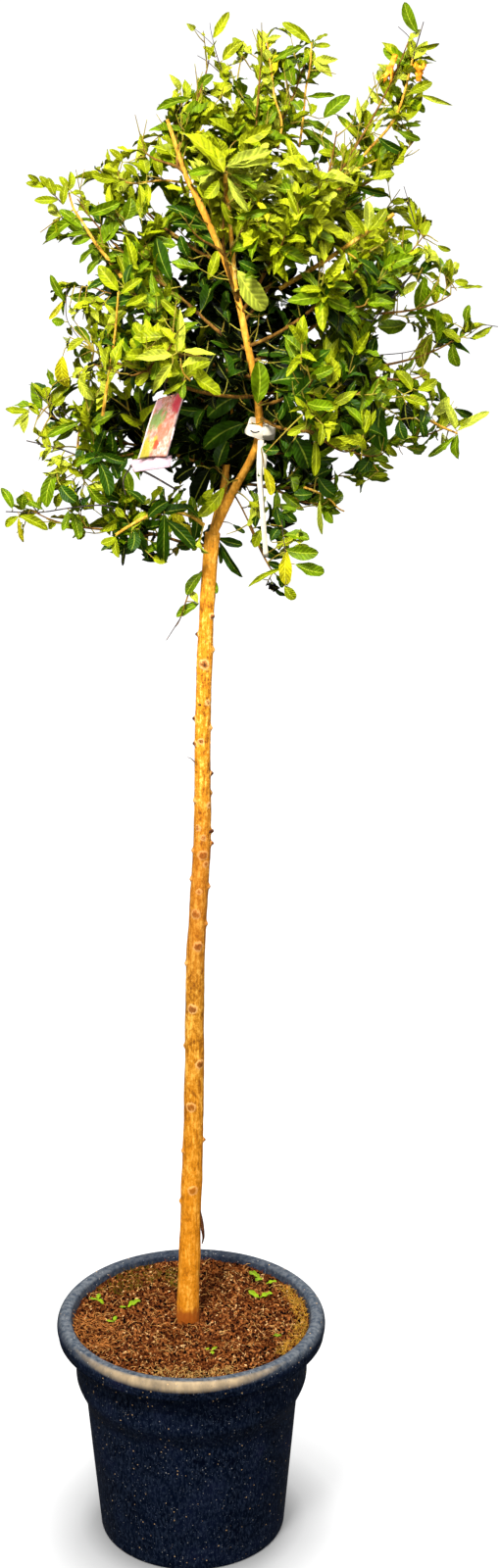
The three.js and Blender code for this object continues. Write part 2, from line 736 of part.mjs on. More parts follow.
// Joins the twigs of one mass, with pairs of leaves along each and one at its tip. A leaf that would
// leave the space, or touch a limb, a twig or another leaf, is turned on round its twig, or skipped.
function growMass( mass, masses, obstacles ) {

	THREE.MathUtils.seededRandom( mass.seed );
	const solids = mass.blossoms.map( ( { foot, mouth } ) => solidOf( blossomGeometry( foot, mouth ) ) );
	const taken = mass.blossoms.flatMap( ( { foot, mouth } ) =>
		pointsAlong( new THREE.LineCurve3( foot, mouth ) ) );
	for ( const own of mass.twigs ) {

		solids.push( limbSolid( own ) );
		const others = mass.twigs.filter( ( other ) => other !== own ).flatMap( ( { points } ) => points );
		const squaredGap = ( point ) => Math.min( nearest( point, taken ), nearest( point, others ) );
		const isApart = ( point ) => squaredGap( point ) > leaf.apart ** 2;
		const isClear = ( samples ) => samples.every( isApart ) && insideSpace( samples, mass, masses, obstacles );
		const firstTurn = spreadOf( 0, Math.PI );
		for ( const { along, turn, angle } of own.leaves ) {

			const size = spreadOf( leaf.least, leaf.most ) * mass.leafSize;
			for ( let shift = 0; shift < leaf.tries; shift ++ ) {

				const placement = leafPlace( own.curve, along, firstTurn + turn + shift * leaf.shift, angle );
				const samples = leafSamples( placement, size );
				if ( ! isClear( samples ) ) continue;
				taken.push( ...samples );
				solids.push( solidOf( leafGeometry( size ).applyMatrix4( placement ) ) );
				break;

			}

		}

	}

	return fused( solids );

}

// ---------- label and tie ----------

function labelGeometry() {

	const { width, height, thickness, neckWidth, neckLength, eyeRadius, eyeWall } = label;
	const outer = eyeRadius + eyeWall;
	const shoulder = - outer - neckLength;
	const join = Math.asin( neckWidth / 2 / outer );
	const outline = new THREE.Shape();
	outline.moveTo( neckWidth / 2, shoulder );
	outline.absarc( 0, 0, outer, - Math.PI / 2 + join, Math.PI * 1.5 - join, false );
	outline.lineTo( - neckWidth / 2, shoulder );
	outline.lineTo( - width / 2, shoulder - neckWidth );
	outline.lineTo( - width / 2, shoulder - height );
	outline.lineTo( width / 2, shoulder - height );
	outline.lineTo( width / 2, shoulder - neckWidth );
	const eye = new THREE.Path();
	eye.absarc( 0, 0, eyeRadius, 0, Math.PI * 2, true );
	outline.holes.push( eye );
	const extrusion = { depth: thickness, bevelEnabled: false, curveSegments: 5 };
	const plate = new THREE.ExtrudeGeometry( outline, extrusion );
	return plate.translate( 0, 0, - thickness / 2 ).rotateX( Math.PI / 2 );

}

// The label hangs by its eye on its bough, turned a little and leaning in its own plane.
function labelPlacement( carrier ) {

	const seat = carrier.curve.getPointAt( label.along );
	const drop = carrier.radiusAt( label.along ) + label.slack - label.eyeRadius;
	const turn = new THREE.Matrix4().makeRotationZ( - THREE.MathUtils.degToRad( label.turn ) );
	const tilt = new THREE.Matrix4().makeRotationY( THREE.MathUtils.degToRad( label.tilt ) );
	const move = new THREE.Matrix4().makeTranslation( seat.x, seat.y, seat.z + drop );
	return move.multiply( turn ).multiply( tilt );

}

function tieSolid( carrier ) {

	const along = alongAtHeight( carrier, tie.height );
	const half = tie.depth / 2 / carrier.curve.getLength();
	const ends = [ carrier.curve.getPointAt( along - half ), carrier.curve.getPointAt( along + half ) ];
	const radius = carrier.radiusAt( along ) + gap + tie.wall;
	const bandCurve = new THREE.LineCurve3( ...ends );
	const outside = radius + tie.over;
	const band = limbGeometry( { curve: bandCurve, radiusAt: () => outside, sides: tie.sides, steps: 1 } );
	const middle = carrier.curve.getPointAt( along );
	const flaps = [ - 1, 1 ].map( ( side ) => {

		const [ width, height, thickness ] = tie.flap;
		const flap = new THREE.BoxGeometry( width, thickness, height );
		flap.translate( side * ( width / 2 + radius * tie.flapSide ), 0, 0 );
		return flap.rotateY( tie.flapLean ).translate( middle.x, middle.y - radius * tie.flapFront, middle.z );

	} );
	const tails = tie.tails.map( ( path ) => {

		const { tailWidth, tailThickness } = tie;
		const section = new THREE.Shape( [ [ - 1, - 1 ], [ 1, - 1 ], [ 1, 1 ], [ - 1, 1 ] ].map( ( [ x, y ] ) =>
			new THREE.Vector2( x * tailWidth / 2, y * tailThickness / 2 ) ) );
		const curve = new THREE.CatmullRomCurve3( vectors( path ) );
		return new THREE.ExtrudeGeometry( section, { steps: 5, extrudePath: curve, bevelEnabled: false } );

	} );
	const tape = fused( [ band, ...flaps, ...tails ].map( solidOf ) );
	return tape.subtract( limbSolid( carrier, gap ) );

}

// ---------- the plant ----------

const plant = new THREE.Group();

function addPiece( name, geometry, color, roughness ) {

	const material = new THREE.MeshStandardMaterial( { color, roughness, metalness: 0 } );
	const mesh = new THREE.Mesh( geometry, material );
	mesh.name = name;
	plant.add( mesh );

}

THREE.MathUtils.seededRandom( firstSeed - 1 );

addPiece( 'pot', geometryOf( solidOf( potGeometry() ) ), colours.pot, 0.55 );
addPiece( 'potting_mix', geometryOf( solidOf( mixGeometry() ) ), colours.mix, 0.95 );

const limbs = { stem: stemLimb(), leader: limbFrom( leader ), back_limb: limbFrom( backLimb ) };
const soilLevel = mix.crown + gap;
const stemSolid = fused( [ limbSolid( limbs.stem ), ...studSolids( limbs.stem ) ] );
addPiece( 'stem', geometryOf( stemSolid.trimByPlane( [ 0, 0, 1 ], soilLevel ) ), colours.bark, 0.8 );

const grownStem = limbSolid( limbs.stem, gap );
const leaderSolid = fused( [ limbSolid( limbs.leader ).subtract( grownStem ) ] );
addPiece( 'leader', geometryOf( leaderSolid ), colours.bark, 0.8 );
const grownLeader = limbSolid( limbs.leader, gap );
const backSolid = fused( [ limbSolid( limbs.back_limb ).subtract( grownStem ).subtract( grownLeader ) ] );
addPiece( 'back_limb', geometryOf( backSolid ), colours.bark, 0.8 );

for ( const row of crown.filter( ( { from } ) => from ) ) {

	const parent = limbs[ row.parent ];
	const limb = boughLimb( row, parent );
	limbs[ row.name ] = limb;
	const solid = fused( [ limbSolid( limb ).subtract( limbSolid( parent, gap ) ) ] );
	addPiece( limb.name, geometryOf( solid ), colours.bough, 0.8 );

}

// Where a mass starts: a gap past the tip of its bough or limb, or under the bark on the side of the
// stem, which is then cut out of the mass with a gap to spare.
function seatOf( row ) {

	const carrier = limbs[ row.from ? row.name : row.parent ];
	const along = row.seat ? alongAtHeight( carrier, row.seat.height ) : 1;
	const heading = row.seat ? bearingVector( row.seat.bearing ) : carrier.curve.getTangentAt( 1 );
	const offset = row.seat ? carrier.radiusAt( along ) * seatShare : gap;
	return { start: carrier.curve.getPointAt( along ).addScaledVector( heading, offset ), heading };

}

const masses = crown.map( ( row, index ) => {

	const { name, spread, seat, leafSize = 1 } = row;
	const blossoms = ( row.blossoms ?? [] ).map( ( { foot, mouth } ) =>
		( { foot: new THREE.Vector3( ...foot ), mouth: new THREE.Vector3( ...mouth ) } ) );
	const { start, heading } = seatOf( row );
	const lobes = lobeCurves( start, heading, vectors( row.reach ), leaf.length * leafSize );
	const line = lobes.flatMap( pointsAlong );
	return { name, spread, seat, leafSize, blossoms, heading, lobes, line, seed: firstSeed + index };

} );

const hungLabel = labelGeometry().applyMatrix4( labelPlacement( limbs.front_low ) );
addPiece( 'label', geometryOf( solidOf( hungLabel ) ), colours.label, 0.5 );
addPiece( 'tie', geometryOf( tieSolid( limbs.leader ) ), colours.tape, 0.5 );

const labelMiddle = new THREE.Vector3( 0, 0, - label.eyeRadius - label.neckLength - label.height / 2 );
labelMiddle.applyMatrix4( labelPlacement( limbs.front_low ) );
const trimBalls = [
	{ centre: labelMiddle, radius: label.height / 2 },
	...tie.tails.flatMap( ( path ) => new THREE.CatmullRomCurve3( vectors( path ) ).getSpacedPoints( 12 ) )
		.map( ( centre ) => ( { centre, radius: tie.tailWidth } ) ),
];
const obstacles = [ ...Object.values( limbs ).flatMap( obstacleBalls ), ...trimBalls ];
for ( const mass of masses ) mass.twigs = layTwigs( mass, masses, obstacles );
for ( const mass of masses ) mass.line = mass.twigs.flatMap( ( { points } ) => points );
for ( const mass of masses ) {

	const grown = growMass( mass, masses, obstacles );
	const solid = mass.seat ? grown.subtract( grownStem ) : grown;
	addPiece( mass.name + '_foliage', geometryOf( solid ), colours.leaf, 0.6 );

}

export default plant;
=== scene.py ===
import random
from math import atan2, cos, exp, hypot, pi, radians, sin

import bmesh
import bpy
import numpy as np
from mathutils import Matrix, Quaternion, Vector, kdtree, noise


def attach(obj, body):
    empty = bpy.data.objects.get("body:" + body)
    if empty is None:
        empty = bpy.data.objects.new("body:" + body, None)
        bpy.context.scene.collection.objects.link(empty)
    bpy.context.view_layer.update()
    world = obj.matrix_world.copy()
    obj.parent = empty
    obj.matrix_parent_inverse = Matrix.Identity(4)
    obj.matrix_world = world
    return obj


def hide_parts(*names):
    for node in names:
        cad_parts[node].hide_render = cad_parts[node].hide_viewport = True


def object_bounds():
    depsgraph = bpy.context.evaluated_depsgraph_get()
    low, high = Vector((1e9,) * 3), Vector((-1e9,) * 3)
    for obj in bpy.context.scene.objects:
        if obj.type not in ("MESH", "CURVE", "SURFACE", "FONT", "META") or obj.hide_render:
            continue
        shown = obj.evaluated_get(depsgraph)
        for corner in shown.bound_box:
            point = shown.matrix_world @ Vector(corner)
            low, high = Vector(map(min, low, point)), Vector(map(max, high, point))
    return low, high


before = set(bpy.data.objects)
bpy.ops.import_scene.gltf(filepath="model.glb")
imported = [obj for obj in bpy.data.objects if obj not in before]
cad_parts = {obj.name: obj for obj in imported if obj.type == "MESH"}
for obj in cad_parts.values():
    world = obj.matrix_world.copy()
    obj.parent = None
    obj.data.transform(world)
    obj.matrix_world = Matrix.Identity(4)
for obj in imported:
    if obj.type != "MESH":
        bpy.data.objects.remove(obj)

# A young pomegranate grown as a standard in a nursery pot. Metres, +Z up, the front faces -Y.

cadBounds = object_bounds()
zAxis = Vector((0, 0, 1))


# small helpers: a colour is display steps of 0-255, and a single number is a linear grey

def tone(colour):
    # the linear colour that shaders use
    if isinstance(colour, (int, float)):
        return (colour,) * 3
    steps = [channel / 255 for channel in colour]
    return tuple(c / 12.92 if c <= 0.04045 else ((c + 0.055) / 1.055) ** 2.4 for c in steps)


def scaled(colour, share):
    return [channel * share for channel in colour]


def newMaterial(name, colour, roughness, shine=0.04, **sockets):
    material = bpy.data.materials.new(name)
    material.use_nodes = True
    inputs = material.node_tree.nodes["Principled BSDF"].inputs
    inputs["Base Color"].default_value = (*tone(colour), 1)
    inputs["Roughness"].default_value = roughness
    inputs["Specular IOR Level"].default_value = shine
    for socket, value in sockets.items():
        inputs[socket.replace("_", " ")].default_value = value
    return material


def addNode(owner, kind, inputs=(), **settings):
    # inputs is a list of (socket, value or the output that feeds it)
    tree = owner.node_tree
    node = tree.nodes.new("ShaderNode" + kind)
    for key, value in settings.items():
        setattr(node, key, value)
    for socket, value in inputs:
        if isinstance(value, bpy.types.NodeSocket):
            tree.links.new(value, node.inputs[socket])
        else:
            node.inputs[socket].default_value = value
    return node


def calc(material, operation, *values):
    return addNode(material, "Math", enumerate(values), operation=operation).outputs[0]


def multiply(material, first, second):
    return calc(material, "MULTIPLY", first, second)


def vectorCalc(material, operation, *values):
    node = addNode(material, "VectorMath", enumerate(values), operation=operation)
    return node.outputs["Value" if operation in ("LENGTH", "DOT_PRODUCT") else "Vector"]


def axisOf(owner, vector, axis):
    return addNode(owner, "SeparateXYZ", [("Vector", vector)]).outputs[axis]


def place(material, scale=(1, 1, 1)):
    coordinates = addNode(material, "TexCoord").outputs["Object"]
    return addNode(material, "Mapping", [("Vector", coordinates), ("Scale", scale)]).outputs["Vector"]


def grain(material, scale, detail=3.0, roughness=0.55, at=(1, 1, 1)):
    # at is how far the object's coordinates are stretched, or the vector to use in their place
    vector = place(material, at) if isinstance(at, tuple) else at
    return addNode(material, "TexNoise", [
        ("Vector", vector), ("Scale", scale), ("Detail", detail), ("Roughness", roughness)]).outputs["Fac"]


def ramp(material, value, *stops):
    node = addNode(material, "ValToRGB", [("Fac", value)])
    elements = node.color_ramp.elements
    while len(elements) < len(stops):
        elements.new(0.5)
    for element, (position, colour) in zip(elements, stops):
        element.position = position
        element.color = (*tone(colour), 1)
    return node.outputs["Color"]


def span(owner, value, low, high, toLow=0.0, toHigh=1.0):
    return addNode(owner, "MapRange", [
        ("Value", value), ("From Min", low), ("From Max", high),
        ("To Min", toLow), ("To Max", toHigh)]).outputs["Result"]


def blend(material, share, first, second):
    sides = [side if isinstance(side, bpy.types.NodeSocket) else (*tone(side), 1) for side in (first, second)]
    return addNode(material, "Mix", [(0, share), (6, sides[0]), (7, sides[1])],
                   data_type="RGBA", clamp_factor=True).outputs[2]


def flecks(material, scale, low, high, channel, share, at=(1, 1, 1)):
    # round spots in those cells whose channel is above the share
    cells = addNode(material, "TexVoronoi", [("Vector", place(material, at)), ("Scale", scale)])
    pick = addNode(material, "SeparateColor", [("Color", cells.outputs["Color"])]).outputs[channel]
    return multiply(material, span(material, cells.outputs["Distance"], low, high),
                    calc(material, "GREATER_THAN", pick, share))


def wire(material, colour, roughness=None, height=None, depth=0.0005, strength=0.6):
    tree = material.node_tree
    shader = tree.nodes["Principled BSDF"]
    tree.links.new(colour, shader.inputs["Base Color"])
    if roughness is not None:
        tree.links.new(roughness, shader.inputs["Roughness"])
    if height is not None:
        bump = addNode(material, "Bump", [("Height", height), ("Distance", depth), ("Strength", strength)])
        tree.links.new(bump.outputs["Normal"], shader.inputs["Normal"])


def mottled(name, colour, roughness, scale, detail, *stops, **sockets):
    # one grain that runs through a few tones
    material = newMaterial(name, colour, roughness, **sockets)
    wire(material, ramp(material, grain(material, scale, detail), *stops))
    return material


def linked(name, data):
    thing = bpy.data.objects.new(name, data)
    bpy.context.collection.objects.link(thing)
    return thing


def addPiece(mesh, name, material, nodes=(), smooth=True):
    mesh.materials.append(material)
    mesh.polygons.foreach_set("use_smooth", [smooth] * len(mesh.polygons))
    piece = linked(name, mesh)
    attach(piece, "root")
    if nodes:
        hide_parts(*nodes)
    return piece


def meshOf(bm, name):
    bmesh.ops.recalc_face_normals(bm, faces=bm.faces[:])
    mesh = bpy.data.meshes.new(name)
    bm.to_mesh(mesh)
    bm.free()
    return mesh


def finalMesh(holder):
    # the mesh that an object's curve or modifier gives
    mesh = bpy.data.meshes.new_from_object(holder.evaluated_get(bpy.context.evaluated_depsgraph_get()))
    bpy.data.objects.remove(holder)
    return mesh


def spun(profile, turns, closed=False, apart=1e-6):
    # a line of (radius, z) turned round Z
    bm = bmesh.new()
    corners = [bm.verts.new((radius, 0, z)) for radius, z in profile]
    edges = [bm.edges.new(pair) for pair in zip(corners, corners[1:] + corners[:1] * closed)]
    bmesh.ops.spin(bm, geom=corners + edges, axis=(0, 0, 1), cent=(0, 0, 0), angle=2 * pi, steps=turns,
                   use_merge=True)
    bmesh.ops.remove_doubles(bm, verts=bm.verts[:], dist=apart)
    return bm


def templateOf(bm):
    bm.verts.ensure_lookup_table()
    corners = [tuple(vert.co) for vert in bm.verts]
    faces = [tuple(vert.index for vert in face.verts) for face in bm.faces]
    bm.free()
    return corners, faces


def joinedCopies(copies, name):
    # one mesh of small shapes; copies is a list of (corners and faces, matrix)
    verts, faces, total = [], [], 0
    for (corners, shapeFaces), matrix in copies:
        verts.append(np.array(corners) @ np.array(matrix.to_3x3()).T + np.array(matrix.translation))
        faces += [tuple(i + total for i in face) for face in shapeFaces]
        total += len(corners)
    mesh = bpy.data.meshes.new(name)
    mesh.from_pydata(np.concatenate(verts).tolist(), [], faces)
    mesh.update()
    return mesh


def treeOf(points):
    tree = kdtree.KDTree(len(points))
    for i, point in enumerate(points):
        tree.insert(point, i)
    tree.balance()
    return tree


def atBearing(degrees, z=0.0):
    return Vector((cos(radians(degrees)), sin(radians(degrees)), z))


def fromMillimetres(points):
    return [Vector(point) / 1000 for point in points]


# curves

def smoothPath(points, count):
    # a centripetal Catmull-Rom curve through the points, in steps of even length
    points = [Vector(p) for p in points]
    ends = [points[0] * 2 - points[1], *points, points[-1] * 2 - points[-2]]
    fine = []
    for i in range(len(points) - 1):
        p0, p1, p2, p3 = ends[i:i + 4]
        t1 = max((p1 - p0).length ** 0.5, 1e-6)
        t2 = t1 + max((p2 - p1).length ** 0.5, 1e-6)
        t3 = t2 + max((p3 - p2).length ** 0.5, 1e-6)
        for step in range(12):
            t = t1 + (t2 - t1) * step / 12
            a1 = p0.lerp(p1, t / t1)
            a2 = p1.lerp(p2, (t - t1) / (t2 - t1))
            a3 = p2.lerp(p3, (t - t2) / (t3 - t2))
            b1 = a1.lerp(a2, t / t2)
            b2 = a2.lerp(a3, (t - t1) / (t3 - t1))
            fine.append(b1.lerp(b2, (t - t1) / (t2 - t1)))
    fine.append(points[-1])
    return evenly(fine, count)


def evenly(points, count):
    lengths = np.cumsum([0] + [(b - a).length for a, b in zip(points, points[1:])])
    stations = np.linspace(0, lengths[-1], count)
    columns = [np.interp(stations, lengths, [p[axis] for p in points]) for axis in range(3)]
    return [Vector(row) for row in zip(*columns)]


def bezier(p0, p1, p2, p3, count):
    steps = [i / (count * 2) for i in range(count * 2 + 1)]
    return evenly([p0 * (1 - t) ** 3 + p1 * 3 * t * (1 - t) ** 2 + p2 * 3 * t * t * (1 - t) + p3 * t ** 3
                   for t in steps], count)


def pathLength(path):
    return sum((b - a).length for a, b in zip(path, path[1:]))


def along(path, share):
    # the point and the direction at a share of the way along an even path
    spot = min(max(share, 0), 0.9999) * (len(path) - 1)
    i = int(spot)
    return path[i].lerp(path[i + 1], spot - i), (path[i + 1] - path[i]).normalized()


def shareAtHeight(path, height):
    for i, (low, high) in enumerate(zip(path, path[1:])):
        if low.z <= height <= high.z:
            return (i + (height - low.z) / (high.z - low.z)) / (len(path) - 1)
    return 1.0


def tubes(limbs, name, roundness):
    # limbs is a list of (path, radii); each becomes a tapered tube with closed ends
    curve = bpy.data.curves.new(name, "CURVE")
    curve.dimensions = "3D"
    curve.bevel_depth = 1
    curve.bevel_resolution = roundness
    curve.use_fill_caps = True
    for path, radii in limbs:
        spline = curve.splines.new("POLY")
        spline.points.add(len(path) - 1)
        for point, at, radius in zip(spline.points, path, radii):
            point.co = (*at, 1)
            point.radius = radius
    return finalMesh(linked(name, curve))


def addTubes(limbs, name, roundness, material, nodes=()):
    return addPiece(tubes(limbs, name, roundness), name, material, nodes)


def taper(start, end, count):
    return [start + (end - start) * i / (count - 1) for i in range(count)]


# camera, light and floor

studio = {
    "eye": (0.0877, -3.475, 2.386),
    "lookDown": 19.02,
    "lens": 60.75,
    "sensor": 36,
    "sky": 0.66,
    "below": 0.16,  # light from under the horizon, as a share of the sky's
    "horizon": (-0.25, 0.1),
    "aim": (0.08, 0, 1.5),
    "lamps": {  # power, place, size and spread
        "key": (32, (-0.6, -2.0, 3.7), 0.7, 64),
        "fill": (5, (1.2, -2.6, 2.0), 1.2, 60),
        "back": (15, (0.9, 2.3, 3.3), 1.2, 60),
    },
    "floor": 0.22,
    "floorGlow": 0.95,
    "paintedShadowReach": (0.12, 0.34),
    "paintedShadowStops": ((0, 0.02), (0.12, 0.2), (0.25, 0.45), (0.5, 0.74), (1, 1)),  # painted contact shadow, darker next to the pot
    "floorReach": 400,
}

cameraData = bpy.data.cameras.new("camera")
cameraData.lens = studio["lens"]
cameraData.sensor_width = studio["sensor"]
camera = linked("camera", cameraData)
camera.location = studio["eye"]
camera.rotation_euler = (radians(90 - studio["lookDown"]), 0, 0)
bpy.context.scene.camera = camera
bpy.context.scene.view_settings.view_transform = "Standard"

for name, (power, at, size, spread) in studio["lamps"].items():
    light = bpy.data.lights.new(name, "AREA")
    light.energy = power
    light.size = size
    light.spread = radians(spread)
    lamp = linked(name, light)
    lamp.location = at
    lamp.rotation_euler = (Vector(studio["aim"]) - lamp.location).to_track_quat("-Z", "Y").to_euler()

world = bpy.data.worlds.new("sky")
world.use_nodes = True
backdrop = world.node_tree.nodes["Background"]
backdrop.inputs["Strength"].default_value = studio["sky"]
upward = axisOf(world, addNode(world, "TexCoord").outputs["Object"], "Z")
world.node_tree.links.new(span(world, upward, *studio["horizon"], studio["below"]), backdrop.inputs["Color"])
bpy.context.scene.world = world

floorMesh = bpy.data.meshes.new("floor")
bm = bmesh.new()
bmesh.ops.create_grid(bm, x_segments=1, y_segments=1, size=studio["floorReach"])
bm.to_mesh(floorMesh)
bm.free()
pale = newMaterial("paleFloor", studio["floor"], 0.9, Emission_Color=(1, 1, 1, 1))
# the floor glows evenly, but its glow fades next to the pot as a painted contact shadow
glow = ramp(pale, span(pale, vectorCalc(pale, "LENGTH", place(pale)), *studio["paintedShadowReach"]),
            *[(at, share * studio["floorGlow"]) for at, share in studio["paintedShadowStops"]])
pale.node_tree.links.new(glow, pale.node_tree.nodes["Principled BSDF"].inputs["Emission Strength"])
floorMesh.materials.append(pale)
floor = linked("floor", floorMesh)
floor.visible_diffuse = False  # the light from below is the sky's
floor.visible_glossy = False
print("studio ready")

# pot

pot = {
    "height": 0.355, "rimRadius": 0.200, "crestRadius": 0.189, "rimDepth": 0.031, "mouth": 0.178,
    "collarRadius": 0.173, "collarFoot": 0.262, "bodyTop": 0.212, "bodyRadius": 0.1575,
    "footRadius": 0.1397, "wall": 0.003, "floor": 0.004, "turns": 160,
    # paintedHighlight: the way a painted highlight on the rim's front faces
    "mouldingLine": (0.283, 0.0004), "paintedHighlight": (-0.1, -0.78, 0.62),
    # marks on the plastic: scale, size, the share of cells without one, and colour
    "marks": ((260, 0.2, 0.88, (170, 166, 158)), (170, 0.18, 0.9, (226, 184, 126)),
              (430, 0.26, 0.84, (96, 104, 118)), (120, 0.1, 0.9, (24, 28, 38))),
}


def plasticMaterial():
    material = newMaterial("dustyPlastic", (8, 12, 26), 0.5, 0.03)
    normal = addNode(material, "NewGeometry").outputs["Normal"]
    depth, height = (axisOf(material, place(material), axis) for axis in "YZ")
    cloud = grain(material, 22, 6)
    base = ramp(material, cloud, (0.25, (0, 2, 14)), (0.5, (3, 12, 30)), (0.66, (12, 20, 42)),
                (0.8, (28, 24, 52)))
    streak = span(material, grain(material, 320, 4, 0.7, (1, 1, 0.4)), 0.46, 0.66, 0, 0.75)
    base = blend(material, streak, base, (44, 54, 72))
    # up-facing faces turn a paler grey-blue, less of it at the back, which is painted shade on the far rim
    # and inner wall
    paleTopTone = ramp(material, grain(material, 160, 5), (0.35, (52, 62, 74)), (0.65, (104, 108, 112)))
    lift = multiply(material, span(material, axisOf(material, normal, "Z"), 0.1, 0.8, 0, 0.9),
                    span(material, depth, 0.19, 0.09, 0.3, 1))
    paleTopsAndBackShade = blend(material, lift, base, paleTopTone)
    # painted highlight: a beige sheen on the front of the rim, where it faces the light
    facing = vectorCalc(material, "DOT_PRODUCT", normal, pot["paintedHighlight"])
    ragged = calc(material, "ADD", facing, multiply(material, grain(material, 200, 4), 0.06))
    front = multiply(material, span(material, depth, 0, -0.08), span(material, height, 0.31, 0.32))
    paintedHighlight = multiply(material, multiply(material, span(material, ragged, 0.8, 0.98), front), 0.92)
    highlightTones = ramp(material, grain(material, 60, 5, at=(1, 1, 0.18)),
                 (0.3, (132, 116, 92)), (0.7, (194, 168, 130)))
    mix = blend(material, paintedHighlight, paleTopsAndBackShade, highlightTones)
    for scale, size, share, colour in pot["marks"]:
        mix = blend(material, flecks(material, scale, size, size * 0.7, "Red", share), mix, colour)
    wire(material, mix, span(material, cloud, 0.3, 0.7, 0.38, 0.6), grain(material, 300, 4), 0.0003, 0.5)
    return material


def potProfile():
    foot, body, collar, rim, crest, mouth = (pot[key] for key in (
        "footRadius", "bodyRadius", "collarRadius", "rimRadius", "crestRadius", "mouth"))
    height, bodyTop, collarFoot, wall = (pot[key] for key in ("height", "bodyTop", "collarFoot", "wall"))
    rimFoot = height - pot["rimDepth"]
    rimMiddle = height - pot["rimDepth"] / 2
    lineZ, lineDepth = pot["mouldingLine"]
    profile = [(0, 0.002), (foot - 0.012, 0.002), (foot - 0.009, 0), (foot - 0.004, 0)]
    profile += [(foot - 0.004 + 0.004 * sin(a), 0.004 - 0.004 * cos(a)) for a in (0.5, 1.0, pi / 2)]
    for z in np.linspace(0.02, bodyTop, 8):
        profile.append((foot + (body - foot) * ((z - 0.004) / (bodyTop - 0.004)), z))
    for share in [step / 8 for step in range(1, 9)]:
        ease = share * share * (3 - 2 * share)
        profile.append((body + (collar - body) * ease, bodyTop + (collarFoot - bodyTop) * share))
    profile += [(collar, lineZ - 0.003), (collar + lineDepth, lineZ - 0.001),
                (collar + lineDepth, lineZ + 0.001), (collar, lineZ + 0.003),
                (collar, rimFoot + 0.003), (collar + 0.003, rimFoot), (rim - 0.006, rimFoot),
                (rim - 0.002, rimFoot + 0.002)]
    profile += [(crest + (rim - crest) * cos(a), rimMiddle + pot["rimDepth"] / 2 * sin(a))
                for a in np.linspace(radians(-40), radians(90), 10)]
    profile += [(crest + (mouth - crest) * sin(a), height - 0.005 * (1 - cos(a))) for a in (0.5, 1.0, pi / 2)]
    inner = collar - wall
    return profile + [(mouth - 0.003, height - 0.018), (inner, rimFoot), (inner, collarFoot),
                      (body - wall, bodyTop), (foot - wall, pot["floor"]), (0, pot["floor"])]


potMesh = meshOf(spun(potProfile(), pot["turns"]), "nurseryPot")
addPiece(potMesh, "nurseryPot", plasticMaterial(), ["pot"])
print("pot ready")

# potting mix

soil = {
    "crown": 0.3470, "edge": 0.342, "backRise": 0.003, "radius": 0.1752, "rings": 80, "turns": 240,
    "lump": 0.005, "crumb": 0.003, "skirt": (0.1685, 0.322), "seed": 31, "crumbs": 5200, "fibres": 1500,
    "chips": 520, "chipShape": 9, "stemAt": (-0.006, -0.003), "hollow": (0.017, -0.012, 0.009, 0.009),
}
skirtMark = -0.03  # the height that marks the skirt's corners until they are set


def soilHeight(x, y):
    reach = hypot(x, y) / soil["radius"]
    level = soil["crown"] - (soil["crown"] - soil["edge"]) * min(reach, 1) ** 2
    level += soil["backRise"] * max(0, y / soil["radius"]) ** 2
    lumps = noise.noise(Vector((x * 28, y * 28, 3.0))) * soil["lump"]
    stemX, stemY = soil["stemAt"]
    holeX, holeY, width, depth = soil["hollow"]
    hole = exp(-((x - holeX) ** 2 + (y - holeY) ** 2) / width ** 2 * 1.5) * depth
    return level + lumps * min(1, hypot(x - stemX, y - stemY) / 0.05) - hole \
        + noise.noise(Vector((x * 150, y * 150, 8.0))) * soil["crumb"]


def onSoil(x, y):
    return Vector((x, y, soilHeight(x, y)))


def soilMaterial():
    material = newMaterial("peatMix", (84, 44, 22), 0.95)
    fine = grain(material, 300, 5, 0.75)
    base = ramp(material, grain(material, 60, 8, 0.7),
                (0.35, (14, 4, 0)), (0.5, (70, 28, 9)), (0.62, (138, 74, 30)))
    speck = ramp(material, fine, (0.43, (8, 2, 0)), (0.53, (86, 38, 13)), (0.61, (190, 122, 62)))
    wire(material, blend(material, 0.6, base, speck), None, fine, 0.003, 1.0)
    return material


def soilBed():
    bm = spun([(soil["radius"] * (i / soil["rings"]), 0) for i in range(soil["rings"] + 1)]
              + [(soil["skirt"][0], skirtMark)], soil["turns"])
    for vert in bm.verts:
        vert.co.z = soilHeight(vert.co.x, vert.co.y) if vert.co.z > skirtMark / 3 else soil["skirt"][1]
    bmesh.ops.edgenet_fill(bm, edges=[edge for edge in bm.edges if edge.is_boundary])
    return meshOf(bm, "pottingBed")


def crumbTemplate(seed):
    bm = bmesh.new()
    bmesh.ops.create_icosphere(bm, subdivisions=1, radius=1)
    dice = random.Random(seed)
    for vert in bm.verts:
        vert.co *= dice.uniform(0.65, 1.2)
    return templateOf(bm)


def turned(dice, at, size):
    spin = Quaternion([dice.gauss(0, 1) for _ in range(4)]).normalized()
    return Matrix.Translation(at) @ spin.to_matrix().to_4x4() @ Matrix.Diagonal((*size, 1))


def soilSpot(dice, inner=0.0, outer=0.171):
    radius = (dice.uniform((inner / outer) ** 2, 1)) ** 0.5 * outer
    bearing = dice.uniform(0, 2 * pi)
    return onSoil(radius * cos(bearing), radius * sin(bearing))


def fibreLimb(dice, at, length, radius, lift):
    heading = Vector((dice.gauss(0, 1), dice.gauss(0, 1), 0)).normalized()
    bend = Vector((-heading.y, heading.x, 0)) * dice.uniform(-0.5, 0.5) * length
    middle = at + heading * length * 0.5 + bend * 0.5 + zAxis * lift
    path = [at - zAxis * 0.001, middle,
            at + heading * length + bend * 0.1 + zAxis * lift * dice.uniform(0, 1.4)]
    return path, [radius, radius, radius * 0.4]


def addCrumbs(spots, name, shape, material):
    template = crumbTemplate(shape)
    addPiece(joinedCopies([(template, spot) for spot in spots], "scatter"), name, material,
             smooth=False)


